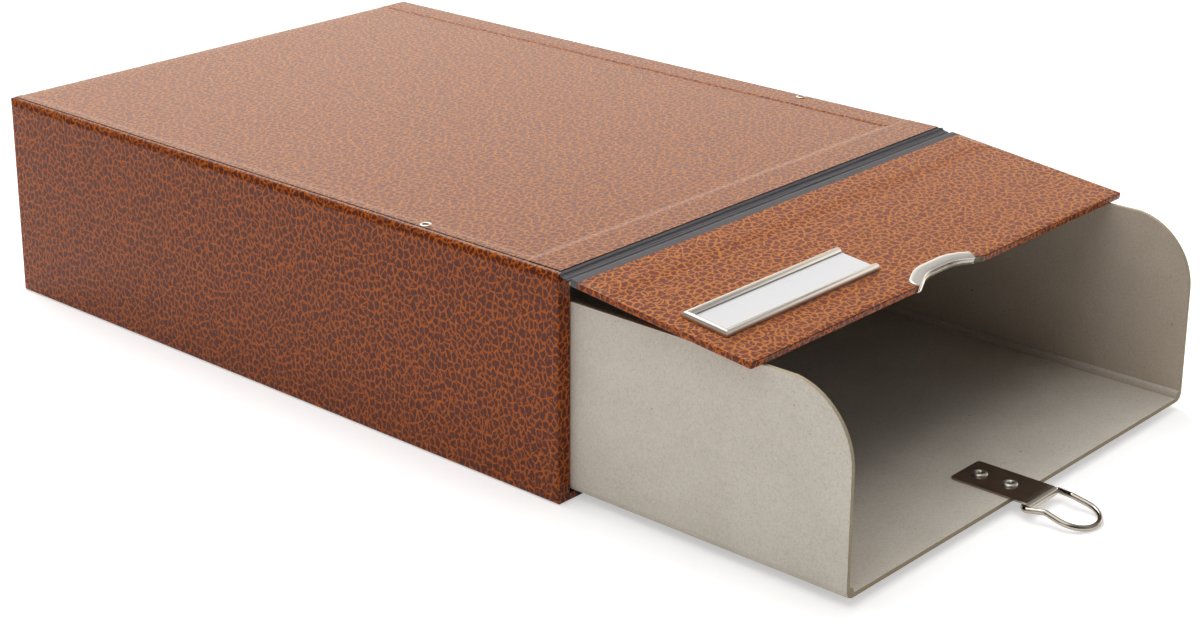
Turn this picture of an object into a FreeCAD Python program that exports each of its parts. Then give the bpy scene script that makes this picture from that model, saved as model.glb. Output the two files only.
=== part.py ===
"""File box with a drawer: covered board case, cloth-hinged flap, folded board drawer, ring pull.

Millimetres. Origin at the centre of the case's underside, +X to the right seen from the mouth,
-Y out of the mouth, +Z up. The drawer stands part way out and the flap rests on its side walls.
"""
import FreeCAD
import Part
import math
import os

V = FreeCAD.Vector

# ---- case: overall sizes and sheets ----
CASE_WIDTH = 255.0
CASE_DEPTH = 348.0
CASE_HEIGHT = 96.0
SIDE_PANEL = 6.1            # laminated board of the two sides
PANEL = 2.4                 # board of the bottom, top and back
PAPER = 0.25                # printed covering paper
LINING = 0.2                # black paper inside the case and under the flap
UNDER_SHEET = 0.5           # black sheet under the bottom
CLOTH = 0.4                 # hinge bookcloth

TOP_NOSE_BEVEL = 0.7        # top board's front edge, under the cloth
TOP_EDGE_RADIUS = 2.0       # long top edges and the back edges, over the paper
SHARP_EDGE_RADIUS = 0.8     # bottom edges and the upright front edges, over the paper

LEFT_LAP = 5.0              # width of the left side paper's turn on to the top
RIGHT_LAP = 15.5            # width of the right side paper's turn on to the top
TURN_UNDER = 15.0           # width of the side papers' turn under the bottom and on to the back
TURN_IN = 3.0               # turn of the side papers into the mouth
FRONT_EDGE_TURN = 4.2       # side paper on the bottom board's front edge, past the side panel
BACK_TURN_DOWN = 13.0       # top paper's turn down on to the back
LAP_STEP = 0.25             # run of the step where a sheet comes down off a lap
CLOTH_TAIL = 16.0           # cloth glued on the top board under the paper
SHEET_MARGIN = 1.2          # black bottom sheet stays back from the edges

# ---- eyelets in the top ----
EYELET_SETBACK = 75.0       # from the mouth
EYELET_INSET = 4.6          # from the case's side face
EYELET_FLANGE_RADIUS = 2.5
EYELET_FLANGE_HEIGHT = 0.7
EYELET_BARREL_RADIUS = 1.5
EYELET_BORE_RADIUS = 1.1
EYELET_LENGTH = 8.0         # under the flange
ROLL_CROWN = 0.4            # width of a rolled flange's crown, outside the bore

# ---- hinge and flap ----
HINGE_REACH = 3.2           # hinge line in front of the mouth
HINGE_DROP = 2.55           # hinge line below the top of the case
FLAP_TABLE_GAP = 4.05       # free edge above the table when the flap hangs over the mouth
FLAP_REST_GAP = 0.3         # flap's free edge above the drawer's walls
FLAP_BOARD = 2.2
FLAP_RISE = 1.45            # top of the flap board above the hinge line
FLAP_START = 2.2            # hinge line to the flap board
FLAP_PAPER_START = 6.8      # hinge line to the paper's edge on the cloth
FLAP_CLOTH_END = 17.4       # hinge line to the cloth's hidden edge
FLAP_TURN = 12.0            # paper's turn on to the underside
FLAP_CORNER_RADIUS = 1.2
FLAP_BEVEL_RUN = 1.45       # bevel of the flap board's rear top edge, under the cloth
FLAP_BEVEL_DROP = 1.1
GROOVE_GAP = 0.5            # half of the open hinge line between the two cloth strips
GROOVE_FLAT = 0.9           # half of the groove's flat bottom
GROOVE_CASE_SLOPE_RUN = 2.6
GROOVE_FLAP_SLOPE_RUN = 2.1
CLOTH_BEND = 0.8            # bend radius where the cloth leaves a board
GROOVE_BEND = 0.4           # bend radius at the groove's bottom

# ---- thumb notch in the flap's free edge ----
NOTCH_CENTRE = -1.4
NOTCH_DEPTH = 6.3
NOTCH_FLAT = 20.0
NOTCH_MOUTH = 46.0
NOTCH_RADIUS = 9.0

# ---- thumb clip ----
CLIP_METAL = 0.4
CLIP_FLANGE = 4.6
CLIP_LEFT_REACH = 23.0      # from the notch's centre to each end of the clip
CLIP_RIGHT_REACH = 18.4

# ---- label holder and card ----
HOLDER_LEFT = 8.5           # from the flap's left edge
HOLDER_LENGTH = 94.3
HOLDER_NEAR = 49.8          # hinge line to the holder
HOLDER_WIDTH = 21.4
HOLDER_METAL = 0.4
RAIL_WIDTH = 3.2
RAIL_HEIGHT = 2.6
RAIL_BEAD_WIDTH = 2.2
RAIL_BEND = 0.75            # bend radius over the rail's crown
RAIL_FOOT_BEND = 0.38       # bend radius at the rail's feet
PRONG_WIDTH = 2.5
PRONG_LENGTH = 2.0
PRONG_INSET = 14.0          # from the holder's ends
PRONG_SPACING = 10.7        # between the two prongs of a pair
CARD_THICKNESS = 0.25
CARD_GAP = 0.3              # card to plate, rails and lips
CARD_LIP_COVER = 0.8        # card hidden under a rail's lip

# ---- drawer ----
DRAWER_GAP_SIDE = 0.6       # running gap to each side lining
DRAWER_GAP_FLOOR = 0.3      # running gap to the case floor
DRAWER_HEADROOM = 10.5      # wall tops below the case ceiling
DRAWER_GAP_BACK = 4.0       # back wall to the back lining when the drawer is shut
DRAWER_PROUD = 2.0          # front edge in front of the mouth when the drawer is shut
DRAWER_OUT = 131.5          # front edge in front of the mouth as the drawer stands
DRAWER_BOARD = 1.8
FOLD_RADIUS = 4.0           # outside of the fold between floor and wall
BEAD_RADIUS = 2.7           # crease bead in the inside corner
FRONT_ARC_RADIUS = 29.2
FRONT_ARC_END = 25.5        # wall's straight top stops this far behind its front edge
BACK_FLANGE = 25.0
BACK_FOLD_RADIUS = 2.4
BACK_TOP_DROP = 2.0         # back wall's top below the side walls' tops
STITCH_LENGTH = 12.0        # flat wire stitches through flange and side wall
STITCH_HEIGHT = 1.6
STITCH_WIRE = 0.5
STITCH_SETBACK = 12.0       # stitch's middle from the drawer's back
STITCH_LOW = 24.0           # lower stitches above the drawer's underside
STITCH_HIGH = 21.0          # upper stitches below the walls' tops

# ---- pull: strap, rivets and ring ----
PULL_CENTRE = -4.4
STRAP_WIDTH = 20.5
STRAP_METAL = 0.8
STRAP_LENGTH = 34.3         # back end to the knuckle's axis
STRAP_CORNER_RADIUS = 1.5
KNUCKLE_REACH = 7.3         # knuckle's axis in front of the drawer floor
KNUCKLE_SLIT = 0.7
RIVET_FRONT = 13.4          # behind the knuckle's axis
RIVET_SPACING = 13.7
RIVET_FLANGE_RADIUS = 2.6
RIVET_FLANGE_HEIGHT = 0.8
RIVET_BARREL_RADIUS = 1.5
RIVET_BORE_RADIUS = 1.0
WIRE_RADIUS = 1.0
WIRE_GAP = 0.3              # wire to the knuckle's bore
RING_SIDE_GAP = 0.85        # ring's neck to the knuckle's ends, so that it clears the strap as it turns
RING_NECK = 8.6             # axis to the shoulders
RING_NECK_RISE = 0.75       # shoulders above the axis
RING_SHOULDER_HALF = 9.9
RING_BODY_HALF = 10.8
RING_LENGTH = 25.2          # axis to the tip's centre line
RING_END_FLAT = 1.0         # straight run left at the tip between the two end bends

# ---- levels and planes that follow ----
HALF = CASE_WIDTH / 2.0
FRONT = -CASE_DEPTH / 2.0
BACK = CASE_DEPTH / 2.0
CORE_HALF = HALF - PAPER
CORE_BACK = BACK - PAPER
INNER_HALF = CORE_HALF - SIDE_PANEL - LINING
BOTTOM_TOP = UNDER_SHEET + PANEL
FLOOR = BOTTOM_TOP + LINING
LAP_TOP = CASE_HEIGHT - PAPER
CORE_TOP = LAP_TOP - PAPER
TOP_UNDER = CORE_TOP - PANEL
CEILING = TOP_UNDER - LINING
BACK_INNER = CORE_BACK - PANEL
HINGE_Y = FRONT - HINGE_REACH
HINGE_Z = CASE_HEIGHT - HINGE_DROP

TRAY_HALF = INNER_HALF - DRAWER_GAP_SIDE
TRAY_UNDER = FLOOR + DRAWER_GAP_FLOOR
TRAY_FLOOR = TRAY_UNDER + DRAWER_BOARD
TRAY_TOP = CEILING - DRAWER_HEADROOM
TRAY_FRONT = FRONT - DRAWER_OUT
TRAY_BACK = BACK_INNER - LINING - DRAWER_GAP_BACK + DRAWER_PROUD - DRAWER_OUT

FLAP_REACH = HINGE_Z - FLAP_TABLE_GAP
FLAP_UNDER = FLAP_RISE - FLAP_BOARD
PAPER_TOP = FLAP_RISE + PAPER
LINED_UNDER = FLAP_UNDER - PAPER
FREE_EDGE_ANGLE = math.degrees(math.atan2(-LINED_UNDER, FLAP_REACH))
FREE_EDGE_DROP = HINGE_Z - TRAY_TOP - FLAP_REST_GAP
FLAP_DROOP = math.degrees(math.asin(FREE_EDGE_DROP / math.hypot(FLAP_REACH, LINED_UNDER))) - FREE_EDGE_ANGLE

KNUCKLE_BORE = WIRE_RADIUS + WIRE_GAP
KNUCKLE_RADIUS = KNUCKLE_BORE + STRAP_METAL
KNUCKLE_Y = TRAY_FRONT - KNUCKLE_REACH
STRAP_TOP = TRAY_FLOOR + STRAP_METAL
KNUCKLE_Z = STRAP_TOP - KNUCKLE_RADIUS

CUT = 1.0                   # how far a cutting tool runs past what it cuts
MITRED = 1                  # FreeCAD's code for a pipe with mitred corners


def block(x0, x1, y0, y1, z0, z1):
    """Box between two corners."""
    return Part.makeBox(x1 - x0, y1 - y0, z1 - z0, V(x0, y0, z0))


def turned_point(corner, before, after, radius):
    """Start, middle and end of the arc that rounds a corner between two runs."""
    into = (corner - before).normalize()
    out = (after - corner).normalize()
    half_turn = into.getAngle(out) / 2.0
    tangent = radius * math.tan(half_turn)
    start = corner - into * tangent
    end = corner + out * tangent
    inward = (out - into).normalize()
    centre = corner + inward * (radius / math.cos(half_turn))
    return start, centre - inward * radius, end


def rounded_edges(points, radii, closed):
    """Straight runs joined by tangent arcs; a radius of 0 leaves a sharp corner."""
    count = len(points)
    edges = []
    joints = []
    for i, corner in enumerate(points):
        ends = not closed and i in (0, count - 1)
        if ends or radii[i] == 0:
            joints.append((corner, None, corner))
        else:
            joints.append(turned_point(corner, points[i - 1], points[(i + 1) % count], radii[i]))
    for i in range(count if closed else count - 1):
        start, middle, end = joints[i]
        if middle is not None:
            edges.append(Part.Arc(start, middle, end).toShape())
        following = joints[(i + 1) % count][0]
        if (following - end).Length > 1e-6:
            edges.append(Part.LineSegment(end, following).toShape())
    return edges


def outline(points, radii):
    """Closed face bounded by a rounded outline."""
    return Part.Face(Part.Wire(rounded_edges(points, radii, True)))


def xz(x, z):
    """Point of a section across the case."""
    return V(x, 0, z)


def yz(y, z):
    """Point of a section along the case."""
    return V(0, y, z)


def strip_outline(path, bends, thickness):
    """Closed outline of a sheet of even thickness about a bent path in the YZ plane."""
    normals = []
    for start, end in zip(path, path[1:]):
        run = (end - start).normalize()
        normals.append(V(0, -run.z, run.y))
    sides = []
    for side in (1, -1):
        shift = side * thickness / 2.0
        points = [path[0] + normals[0] * shift]
        radii = [0]
        for i in range(1, len(path) - 1):
            mitre = (normals[i - 1] + normals[i]).normalize()
            points.append(path[i] + mitre * (shift / mitre.dot(normals[i])))
            left_turn = normals[i - 1].dot(path[i + 1] - path[i]) > 0
            radii.append(bends[i] - shift if left_turn else bends[i] + shift)
        points.append(path[-1] + normals[-1] * shift)
        radii.append(0)
        sides.append((points, radii))
    points = sides[0][0] + sides[1][0][::-1]
    radii = sides[0][1] + sides[1][1][::-1]
    return outline(points, radii)


def along_x(face, x0, x1):
    """YZ face swept from x0 to x1."""
    moved = face.copy()
    moved.translate(V(x0, 0, 0))
    return moved.extrude(V(x1 - x0, 0, 0))


def join(shapes):
    """One solid from pieces that meet."""
    return shapes[0].fuse(shapes[1:]).removeSplitter()


def write(name, shape):
    """One STEP file for each node."""
    if not shape.isValid():
        raise ValueError(name + " is not valid")
    shape.exportStep(os.path.join("parts", name + ".step"))
    print("%-24s solids %d volume %10.1f" % (name, len(shape.Solids), shape.Volume))


# ---- case ----

def case_envelope(grow):
    """Case block with its edges rounded, grown by grow past the boards."""
    half = CORE_HALF + grow
    low = UNDER_SHEET - grow
    top = CORE_TOP + grow
    front = FRONT - grow
    back = CORE_BACK + grow
    soft = TOP_EDGE_RADIUS - PAPER + grow
    crisp = SHARP_EDGE_RADIUS - PAPER + grow
    across = outline([xz(-half, low), xz(half, low), xz(half, top), xz(-half, top)],
                     [crisp, crisp, soft, soft])
    across.translate(V(0, front, 0))
    body = across.extrude(V(0, back - front, 0))
    plan = outline([V(-half, front, low), V(half, front, low), V(half, back, low), V(-half, back, low)],
                   [crisp, crisp, soft, soft])
    body = body.common(plan.extrude(V(0, 0, top - low)))
    side = outline([yz(front, low), yz(back, low), yz(back, top), yz(front, top)], [0, crisp, soft, 0])
    return body.common(along_x(side, -half, half))


def front_nose():
    """Tool that bevels the top board's front edge, where the cloth turns down."""
    corner = [yz(FRONT, CORE_TOP - TOP_NOSE_BEVEL), yz(FRONT + TOP_NOSE_BEVEL, CORE_TOP),
              yz(FRONT - CUT, CORE_TOP + CUT)]
    return along_x(outline(corner, [0, 0, 0]), -HALF, HALF)


def case_boards(core):
    """Bottom, top, back and the two thick side panels, cut from one rounded block."""
    boards = {}
    panel_inner = INNER_HALF + LINING
    boards["case_bottom_board"] = core.common(block(-HALF, HALF, FRONT, BACK, 0, BOTTOM_TOP))
    top = core.common(block(-HALF, HALF, FRONT, BACK, TOP_UNDER, CASE_HEIGHT))
    boards["case_top_board"] = top.cut(front_nose())
    boards["case_back_panel"] = block(-panel_inner, panel_inner, BACK_INNER, CORE_BACK, BOTTOM_TOP, TOP_UNDER)
    for name, x0, x1 in (("left", -HALF, -panel_inner), ("right", panel_inner, HALF)):
        panel = core.common(block(x0, x1, FRONT, BACK, BOTTOM_TOP, TOP_UNDER))
        boards["case_%s_panel" % name] = panel
    return boards


def side_paper(shell, side, lap):
    """Printed paper over one side, turned on to the top, back, underside and front edge."""
    def band(inner, outer, y0, y1, z0, z1):
        low, high = sorted((side * inner, side * outer))
        return block(low, high, y0, y1, z0, z1)

    seam = HALF - TURN_UNDER
    rounded = HALF - TOP_EDGE_RADIUS
    panel_inner = INNER_HALF
    lap_start = FRONT + CLOTH_TAIL + LAP_STEP
    bend = BACK - TOP_EDGE_RADIUS
    regions = [
        band(rounded, HALF + CUT, FRONT - CUT, BACK + CUT, 0, CASE_HEIGHT),
        band(HALF - lap, rounded, lap_start, bend, CORE_TOP, CASE_HEIGHT),
        band(HALF - lap, rounded, bend, BACK + CUT, CASE_HEIGHT - TOP_EDGE_RADIUS, CASE_HEIGHT),
        band(seam, rounded, FRONT - CUT, BACK + CUT, 0, UNDER_SHEET),
        band(seam, rounded, CORE_BACK, BACK, 0, CASE_HEIGHT - TOP_EDGE_RADIUS),
        band(panel_inner, rounded, FRONT - PAPER, FRONT, 0, TOP_UNDER),
        band(panel_inner - FRONT_EDGE_TURN, rounded, FRONT - PAPER, FRONT, 0, BOTTOM_TOP),
    ]
    paper = join([shell.common(region) for region in regions])
    turn_in = band(INNER_HALF, INNER_HALF + LINING, FRONT - PAPER, FRONT + TURN_IN, BOTTOM_TOP, TOP_UNDER)
    return join([paper, turn_in])


def top_paper(shell):
    """Printed paper over the top: it steps down off the side laps and the hinge cloth."""
    left = -(HALF - LEFT_LAP)
    right = HALF - RIGHT_LAP
    edge = HALF - TOP_EDGE_RADIUS
    seam = HALF - TURN_UNDER
    step = FRONT + CLOTH_TAIL + LAP_STEP
    back = BACK - TOP_EDGE_RADIUS
    on_board = CORE_TOP + CLOTH
    over_cloth = on_board + PAPER
    end = step - LAP_STEP
    across = outline(
        [xz(-edge, CASE_HEIGHT), xz(left + LAP_STEP, CASE_HEIGHT), xz(left + LAP_STEP, LAP_TOP),
         xz(right - LAP_STEP, LAP_TOP), xz(right - LAP_STEP, CASE_HEIGHT), xz(edge, CASE_HEIGHT),
         xz(edge, LAP_TOP), xz(right, LAP_TOP), xz(right, CORE_TOP), xz(left, CORE_TOP), xz(left, LAP_TOP),
         xz(-edge, LAP_TOP)], [0] * 12)
    across.translate(V(0, step, 0))
    main_sheet = across.extrude(V(0, back - step, 0))
    on_cloth = along_x(outline(
        [yz(FRONT + CLOTH, on_board), yz(end, on_board), yz(end, CORE_TOP), yz(step, CORE_TOP),
         yz(step, over_cloth), yz(FRONT + CLOTH, over_cloth)], [0] * 6), -edge, edge)
    bend = shell.common(block(left, right, back, BACK + CUT, CASE_HEIGHT - TOP_EDGE_RADIUS, CASE_HEIGHT))
    down = shell.common(block(-seam, seam, CORE_BACK, BACK, CASE_HEIGHT - BACK_TURN_DOWN,
                              CASE_HEIGHT - TOP_EDGE_RADIUS))
    return join([main_sheet, on_cloth, bend, down])


def back_paper(shell):
    """Printed paper over the back, between the side papers' turns."""
    seam = HALF - TURN_UNDER
    return shell.common(block(-seam, seam, CORE_BACK, BACK, UNDER_SHEET, CASE_HEIGHT - BACK_TURN_DOWN))


def under_sheet():
    """Black sheet under the bottom, let in between and lapped over the turned papers."""
    half = CORE_HALF - SHEET_MARGIN
    seam = HALF - TURN_UNDER
    wide = block(-half, half, FRONT + SHEET_MARGIN, CORE_BACK - SHEET_MARGIN, 0, UNDER_SHEET - PAPER)
    let_in = block(-seam, seam, FRONT + SHEET_MARGIN, CORE_BACK - SHEET_MARGIN, 0, UNDER_SHEET)
    return join([wide, let_in])


def case_lining():
    """Black paper on the floor, sides, back and ceiling, turned over the bottom's front edge."""
    outer = block(-INNER_HALF - LINING, INNER_HALF + LINING, FRONT, BACK_INNER, BOTTOM_TOP, TOP_UNDER)
    hollow = block(-INNER_HALF, INNER_HALF, FRONT - CUT, BACK_INNER - LINING, FLOOR, CEILING)
    lining = outer.cut(hollow)
    for side in (-1, 1):
        low, high = sorted((side * INNER_HALF, side * (INNER_HALF + LINING)))
        lining = lining.cut(block(low, high, FRONT, FRONT + TURN_IN, BOTTOM_TOP, TOP_UNDER))
    turned = INNER_HALF - FRONT_EDGE_TURN
    front = block(-turned, turned, FRONT - LINING, FRONT, UNDER_SHEET, FLOOR)
    return join([lining, front])


def tubular_rivet(x, y, seat, flange_radius, flange_height, barrel_radius, bore_radius, length):
    """Tubular rivet whose rolled flange stands on the seat and whose barrel goes down."""
    points = [xz(bore_radius, -length), xz(barrel_radius, -length), xz(barrel_radius, 0),
              xz(flange_radius, 0), xz(bore_radius + ROLL_CROWN, flange_height),
              xz(bore_radius, flange_height)]
    section = outline(points, [0] * len(points))
    rivet = section.revolve(V(0, 0, 0), V(0, 0, 1), 360)
    rivet.translate(V(x, y, seat))
    return rivet


def eyelet_places():
    """The two eyelets: over the side panels, well back from the mouth."""
    return [(side * (HALF - EYELET_INSET), FRONT + EYELET_SETBACK) for side in (-1, 1)]


def eyelet_hole(x, y):
    """Hole for an eyelet's barrel."""
    return Part.makeCylinder(EYELET_BARREL_RADIUS, EYELET_LENGTH + CUT, V(x, y, CASE_HEIGHT - EYELET_LENGTH))


# ---- hinge cloth ----

def case_cloth():
    """Bookcloth on the top board between the side papers, over its front edge into the groove."""
    level = CORE_TOP + CLOTH / 2.0
    top_turn = HINGE_Y + GROOVE_FLAT + GROOVE_CASE_SLOPE_RUN
    path = [yz(FRONT + CLOTH_TAIL, level), yz(top_turn, level),
            yz(HINGE_Y + GROOVE_FLAT, HINGE_Z), yz(HINGE_Y + GROOVE_GAP, HINGE_Z)]
    strip = along_x(strip_outline(path, [0, CLOTH_BEND, GROOVE_BEND, 0], CLOTH), -HALF, HALF)
    for side in (-1, 1):
        low, high = sorted((side * (HALF - TOP_EDGE_RADIUS), side * (HALF + CUT)))
        strip = strip.cut(block(low, high, FRONT - PAPER, BACK, CORE_TOP - CUT, CASE_HEIGHT))
    return strip


def flap_cloth_section():
    """Bookcloth from the groove over the flap board's rear edge, with the flap level."""
    level = HINGE_Z + FLAP_RISE + CLOTH / 2.0
    path = [yz(HINGE_Y - GROOVE_GAP, HINGE_Z), yz(HINGE_Y - GROOVE_FLAT, HINGE_Z),
            yz(HINGE_Y - GROOVE_FLAT - GROOVE_FLAP_SLOPE_RUN, level), yz(HINGE_Y - FLAP_CLOTH_END, level)]
    return strip_outline(path, [0, GROOVE_BEND, CLOTH_BEND, 0], CLOTH)


# ---- flap, made level and then let down ----

def let_down(shape):
    """Turn a flap piece down about the hinge line to its rest slope."""
    turned = shape.copy()
    turned.rotate(V(0, HINGE_Y, HINGE_Z), V(1, 0, 0), FLAP_DROOP)
    return turned


def out(distance):
    """Y of a place on the level flap, from the hinge line."""
    return HINGE_Y - distance


def flap_block(grow, low, high):
    """Flap's plan with rounded free corners, between two levels above the hinge line."""
    half = CORE_HALF + grow
    reach = FLAP_REACH - PAPER + grow
    radius = FLAP_CORNER_RADIUS - PAPER + grow
    z = HINGE_Z + low
    plan = outline([V(-half, out(reach), z), V(half, out(reach), z), V(half, out(FLAP_START), z),
                    V(-half, out(FLAP_START), z)], [radius, radius, 0, 0])
    return plan.extrude(V(0, 0, high - low))


def notch_edge(offset):
    """Points of the thumb notch's edge, offset towards the flap's middle."""
    slope = math.atan2(NOTCH_DEPTH, (NOTCH_MOUTH - NOTCH_FLAT) / 2.0)
    ease = offset * math.tan(slope / 2.0)
    flat = NOTCH_FLAT / 2.0 + ease
    deep = FLAP_REACH - NOTCH_DEPTH - offset
    run_out = (NOTCH_DEPTH + offset + CUT) / math.tan(slope)
    far = FLAP_REACH + CUT
    return [(-flat - run_out, far), (-flat, deep), (flat, deep), (flat + run_out, far)]


def notch_tool(offset, low, high):
    """Prism of the thumb notch, its edge moved back by offset."""
    z = HINGE_Z + low
    points = [V(NOTCH_CENTRE + x, out(u), z) for x, u in notch_edge(offset)]
    radii = [0, NOTCH_RADIUS + offset, NOTCH_RADIUS + offset, 0]
    return outline(points, radii).extrude(V(0, 0, high - low))


def level_block(x0, x1, near, far, low, high):
    """Box on the level flap: distances from the hinge line, heights above it."""
    return block(x0, x1, out(far), out(near), HINGE_Z + low, HINGE_Z + high)


def flap_board():
    """Board with its rear top edge bevelled and the thumb notch cut in."""
    board = flap_block(0, FLAP_UNDER, FLAP_RISE)
    top = HINGE_Z + FLAP_RISE
    bevel = outline([yz(out(FLAP_START), top - FLAP_BEVEL_DROP), yz(out(FLAP_START + FLAP_BEVEL_RUN), top),
                     yz(out(FLAP_START - CUT), top + CUT)], [0, 0, 0])
    return board.cut(along_x(bevel, -HALF, HALF))


def flap_paper(board):
    """Paper over the top, round three edges and on to the underside, lapped over the cloth."""
    inner = HALF - FLAP_TURN
    edge = HALF - FLAP_CORNER_RADIUS
    lap_end = FLAP_CLOTH_END + LAP_STEP
    wrap = flap_block(PAPER, LINED_UNDER, PAPER_TOP).cut(board)
    bare = level_block(-HALF - CUT, HALF + CUT, 0, FLAP_PAPER_START, LINED_UNDER - CUT, PAPER_TOP + CUT)
    window = level_block(-inner, inner, 0, FLAP_REACH - FLAP_TURN, LINED_UNDER, FLAP_UNDER)
    under_cloth = level_block(-edge, edge, 0, FLAP_CLOTH_END, FLAP_RISE, PAPER_TOP)
    raised = level_block(-edge, edge, FLAP_PAPER_START, lap_end, FLAP_RISE + CLOTH, PAPER_TOP + CLOTH)
    step = level_block(-edge, edge, FLAP_CLOTH_END, lap_end, FLAP_RISE, PAPER_TOP + CLOTH)
    return join([wrap.cut(bare).cut(window).cut(under_cloth), raised, step])


def flap_lining():
    """Black paper on the underside, up to the turned paper on three sides."""
    inner = HALF - FLAP_TURN
    return level_block(-inner, inner, FLAP_PAPER_START, FLAP_REACH - FLAP_TURN, LINED_UNDER, FLAP_UNDER)


def flap_cloth():
    """Cloth of the flap with its turns over the board's rear side edges."""
    edge = HALF - FLAP_CORNER_RADIUS
    cloth = along_x(flap_cloth_section(), -edge, edge)
    pieces = [cloth]
    near = FLAP_START + FLAP_BEVEL_RUN
    for side in (-1, 1):
        low, high = sorted((side * CORE_HALF, side * HALF))
        pieces.append(level_block(low, high, near, FLAP_PAPER_START, LINED_UNDER, FLAP_RISE))
        low, high = sorted((side * edge, side * HALF))
        pieces.append(level_block(low, high, near, FLAP_PAPER_START, FLAP_RISE, FLAP_RISE + CLOTH))
    return join(pieces)


def thumb_clip():
    """Sheet channel that wraps the notch's edge, with rounded flange ends."""
    low = LINED_UNDER - CLIP_METAL
    high = PAPER_TOP + CLIP_METAL
    band = notch_tool(CLIP_FLANGE, low, high).cut(notch_tool(-CLIP_METAL, low - CUT, high + CUT))
    near = FLAP_REACH - NOTCH_DEPTH - CLIP_FLANGE - CUT
    left = NOTCH_CENTRE - CLIP_LEFT_REACH
    right = NOTCH_CENTRE + CLIP_RIGHT_REACH
    band = band.common(level_block(left, right, near, FLAP_REACH - CLIP_METAL, low, high))
    slab = level_block(left, right, near, FLAP_REACH, LINED_UNDER, PAPER_TOP)
    return band.cut(slab.cut(notch_tool(0, LINED_UNDER - CUT, PAPER_TOP + CUT)))


# ---- label holder ----

HOLDER_X0 = -HALF + HOLDER_LEFT
HOLDER_X1 = HOLDER_X0 + HOLDER_LENGTH
HOLDER_FAR = HOLDER_NEAR + HOLDER_WIDTH


def rail_section(edge, inward):
    """Bent rail: up from the plate's edge, over, and down to a lip; inward is +1 or -1 along Y."""
    half = HOLDER_METAL / 2.0
    base = HINGE_Z + PAPER_TOP + half
    top = HINGE_Z + PAPER_TOP + RAIL_HEIGHT - half
    lip = HINGE_Z + PAPER_TOP + HOLDER_METAL + CARD_THICKNESS + 2 * CARD_GAP + half
    inner = edge + inward * RAIL_WIDTH
    outer = edge + inward * half
    bead = edge + inward * (RAIL_BEAD_WIDTH - half)
    path = [yz(inner, base), yz(outer, base), yz(outer, top), yz(bead, top), yz(bead, lip), yz(inner, lip)]
    return strip_outline(path, [0, RAIL_FOOT_BEND, RAIL_BEND, RAIL_BEND, RAIL_FOOT_BEND, 0], HOLDER_METAL)


def label_holder():
    """Plate with rolled rails on three sides, mitred at the two left corners."""
    y_near = out(HOLDER_NEAR)
    y_far = out(HOLDER_FAR)
    z0 = HINGE_Z + PAPER_TOP
    plate = block(HOLDER_X0 + RAIL_WIDTH, HOLDER_X1, y_far + RAIL_WIDTH, y_near - RAIL_WIDTH, z0,
                  z0 + HOLDER_METAL)
    far_rail = along_x(rail_section(y_far, 1), HOLDER_X0, HOLDER_X1)
    near_rail = along_x(rail_section(y_near, -1), HOLDER_X0, HOLDER_X1)
    end = along_x(rail_section(y_far, 1), 0, HOLDER_WIDTH)
    end.translate(V(0, -y_far, 0))
    end.rotate(V(0, 0, 0), V(0, 0, 1), -90)
    end.translate(V(HOLDER_X0, y_near, 0))
    mid = (y_near + y_far) / 2.0
    apex = V(HOLDER_X0 + HOLDER_WIDTH / 2.0, mid, z0)
    wedge = outline([V(HOLDER_X0, y_far, z0), apex, V(HOLDER_X0, y_near, z0)], [0, 0, 0])
    wedge = wedge.extrude(V(0, 0, RAIL_HEIGHT))
    pieces = [plate, far_rail.cut(wedge), near_rail.cut(wedge), end.common(wedge)]
    holder = join(pieces)
    for x, y in prong_places():
        holder = holder.fuse(prong_block(x, y, z0))
    return holder.removeSplitter()


def prong_places():
    """Prongs bent out of the plate, one pair near each end."""
    middle = out(HOLDER_NEAR + HOLDER_WIDTH / 2.0)
    places = []
    for x in (HOLDER_X0 + PRONG_INSET, HOLDER_X1 - PRONG_INSET):
        for side in (-1, 1):
            places.append((x, middle + side * PRONG_SPACING / 2.0))
    return places


def prong_block(x, y, top):
    """Block of a prong's section, from its tip in the board up to top."""
    tip = HINGE_Z + PAPER_TOP - PRONG_LENGTH
    return block(x, x + HOLDER_METAL, y - PRONG_WIDTH / 2.0, y + PRONG_WIDTH / 2.0, tip, top)


def prong_slot(x, y):
    """Slot for a prong through the paper and into the board."""
    return prong_block(x, y, HINGE_Z + PAPER_TOP + CUT)


def label_card():
    """Blank card that lies on the plate under the rails' lips."""
    cover = RAIL_WIDTH - CARD_LIP_COVER
    z = HINGE_Z + PAPER_TOP + HOLDER_METAL + CARD_GAP
    return block(HOLDER_X0 + cover, HOLDER_X1 - CARD_GAP, out(HOLDER_FAR) + cover, out(HOLDER_NEAR) - cover,
                 z, z + CARD_THICKNESS)


# ---- drawer ----

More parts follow.
